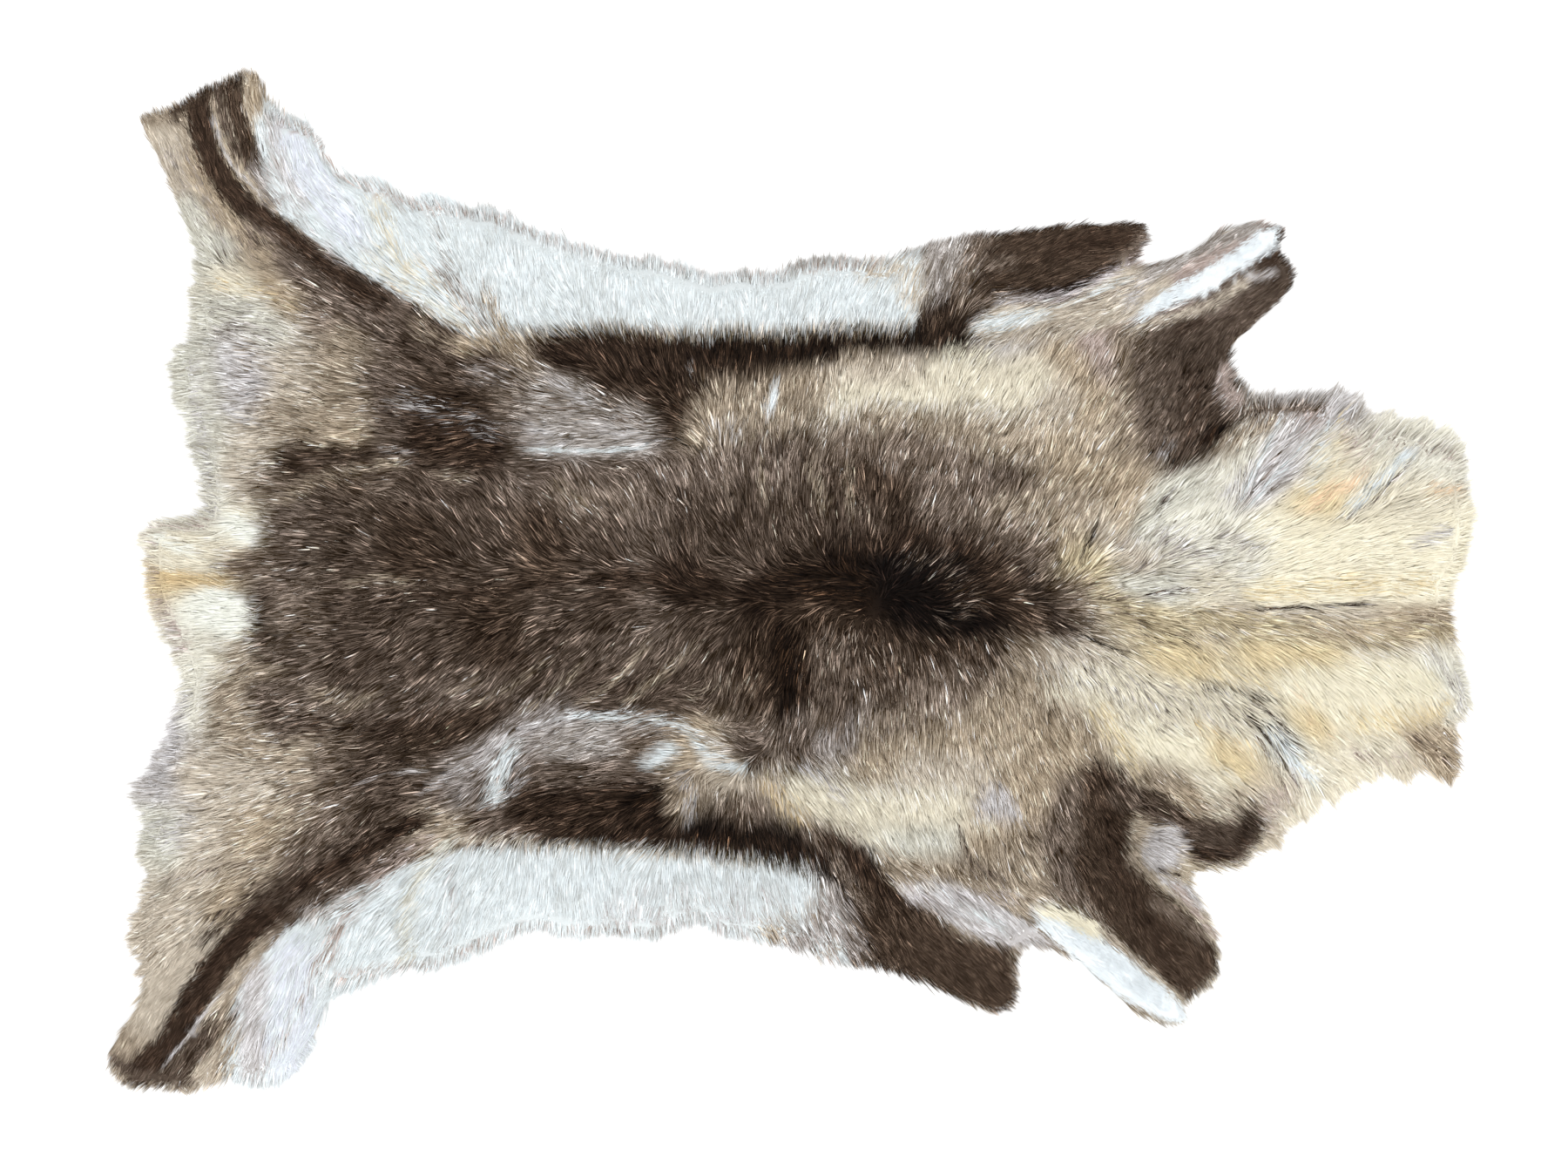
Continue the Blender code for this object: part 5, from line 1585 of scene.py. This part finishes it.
def drawn_in(places, inset):
    """Flat places moved inwards until they lie inset inside the skin's outline."""
    slope = np.stack(np.gradient(skin_net.reshape(*net_count), NET_STEP), axis=-1)
    slope = slope.reshape(-1, 2)
    for _ in range(PULLS):
        short = np.maximum(inset - read_net(skin_net, places), 0)
        way = read_net(slope, places)
        steep = np.maximum((way ** 2).sum(axis=1), FLAT_SLOPE)
        places = places + way * (short / steep)[:, None]
    return places


def finish_mesh(bm, name, material):
    """A new object from a bmesh, facing out and riding with the hide."""
    bmesh.ops.recalc_face_normals(bm, faces=bm.faces[:])
    mesh = bpy.data.meshes.new(name)
    bm.to_mesh(mesh)
    bm.free()
    mesh.materials.append(material)
    piece = put(name, mesh)
    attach(piece, "root")
    return piece


def make_wool():
    """The undercoat: a lower lumpy slab with the coat's colours, darkened as painted shade."""
    bm = shell(slab)
    bmesh.ops.subdivide_edges(bm, edges=bm.edges[:], cuts=1, use_grid_fill=True)
    places = drawn_in(np.array([vert.co[:2] for vert in bm.verts]), WOOL_INSET)
    coat = lay_coat(places, rng.random(len(places)))
    paleness = coat.max(axis=1, keepdims=True)
    shares = WOOL_SHARE + (PALE_WOOL_SHARE - WOOL_SHARE) * paleness[:, 0]
    lumps = WOOL_LUMP * drift(places, LUMP_SIZE)
    for vert, place, share, lump in zip(bm.verts, places, shares, lumps):
        rise = vert.co.z * share
        vert.co = (*place, WOOL_FOOT + rise + lump * min(rise / WOOL_FOOT, 1))
    wool_finish = make_hair_finish("wool_finish", roughness=0.8, grain_scale=400.0)
    wool = finish_mesh(bm, "wool", wool_finish)
    wool.data.shade_smooth()
    # The wool's colour is darkened as painted shade: most under dark hair, little under white.
    paint(wool.data, coat * (1 - (1 - WOOL_PAINTED_SHADE) * (1 - paleness)))
    return wool


wool = make_wool()
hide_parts("hide")
print("wool", len(wool.data.polygons), "faces")

# %% [markdown]
# ## The skin
#
# Turned over, a tanned hide shows its flesh side: a soft, cream suede about a
# millimetre and a half thick, cloudy, with a short nap. It is a sheet cut to the same
# outline, laid flat on the floor and given its thickness with solidify.

# %% The suede's material
SUEDE_STOPS = ((0.28, (0.50, 0.38, 0.24, 1)), (0.6, (0.72, 0.62, 0.47, 1)))
SUEDE_SHINE = 0.2


def make_suede_finish():
    """Cloudy cream suede with a short nap."""
    finish, nodes, shader = new_finish("suede", SUEDE_SHINE)
    place = add_node(nodes, "ShaderNodeTexCoord")
    clouds = add_node(nodes, "ShaderNodeTexNoise", Scale=7.0, Detail=6.0)
    nap = add_node(nodes, "ShaderNodeTexNoise", Scale=900.0, Detail=3.0)
    ramp = add_node(nodes, "ShaderNodeValToRGB")
    for stop, (position, colour) in zip(ramp.color_ramp.elements, SUEDE_STOPS):
        stop.position, stop.color = position, colour
    rough = add_node(nodes, "ShaderNodeMapRange", To_Min=0.75, To_Max=0.95)
    bump = add_node(nodes, "ShaderNodeBump", Strength=0.35, Distance=0.6 * MM)
    join(finish,
         (place, "Object", clouds, "Vector"),
         (place, "Object", nap, "Vector"),
         (clouds, "Fac", ramp, "Fac"),
         (ramp, "Color", shader, "Base Color"),
         (nap, "Fac", rough, "Value"),
         (rough, "Result", shader, "Roughness"),
         (nap, "Fac", bump, "Height"),
         (bump, "Normal", shader, "Normal"))
    return finish


# %% The skin, cut to its outline
SKIN_THICKNESS = 1.5 * MM
SKIN_INSET = 2.5 * MM


def make_skin():
    """The tanned skin under the coat, a closed sheet on the floor."""
    bm = underside(slab)
    places = drawn_in(np.array([vert.co[:2] for vert in bm.verts]), SKIN_INSET)
    for vert, place in zip(bm.verts, places):
        vert.co = (*place, 0.0)
    area = sum(face.calc_area() for face in bm.faces)
    bmesh.ops.solidify(bm, geom=bm.faces[:], thickness=-SKIN_THICKNESS)
    low = min(vert.co.z for vert in bm.verts)
    bmesh.ops.translate(bm, verts=bm.verts[:], vec=(0, 0, -low))
    return finish_mesh(bm, "skin", make_suede_finish()), area


skin, skin_area = make_skin()
print("skin", round(skin_area, 4), "square metres,", len(skin.data.polygons), "faces")

# %% [markdown]
# ## Floor and light
#
# The hide lies on a pale floor under soft light from all round, with a broad lamp from
# the upper left, so that tufts have a bright side and a shaded one without hard
# shadows. The floor is a hair's breadth lower than the skin, so that the two never
# share a face.

# %% The studio
FLOOR_SIZE = 30.0
FLOOR_TONE = 0.93
FLOOR_SHINE = 0.1
FLOOR_ROUGH = 0.9
FLOOR_DROP = 0.1 * MM
SKY = 1.27
LAMP = 0.96
LAMP_TURN = (math.radians(38), math.radians(-20), math.radians(30))
LAMP_SPREAD = math.radians(35)

floor_shape = bmesh.new()
bmesh.ops.create_grid(floor_shape, x_segments=4, y_segments=4, size=FLOOR_SIZE / 2)
floor_mesh = bpy.data.meshes.new("floor")
floor_shape.to_mesh(floor_mesh)
floor_shape.free()
floor_mesh.transform(Matrix.Translation((0, 0, -FLOOR_DROP)))
floor = put("floor", floor_mesh)
floor_finish, _, floor_shader = new_finish("pale_floor", FLOOR_SHINE)
floor_shader.inputs["Base Color"].default_value = (FLOOR_TONE, FLOOR_TONE, FLOOR_TONE, 1)
floor_shader.inputs["Roughness"].default_value = FLOOR_ROUGH
floor_mesh.materials.append(floor_finish)

sky = bpy.data.worlds.new("studio")
sky.use_nodes = True
glow = sky.node_tree.nodes["Background"].inputs
glow["Color"].default_value = (1, 1, 1, 1)
glow["Strength"].default_value = SKY
bpy.context.scene.world = sky
lamp = put("lamp", bpy.data.lights.new("lamp", "SUN"))
lamp.data.energy = LAMP
lamp.data.angle = LAMP_SPREAD
lamp.rotation_euler = LAMP_TURN
bpy.context.scene.view_settings.view_transform = "Standard"
print("floor, sky and lamp are in place")
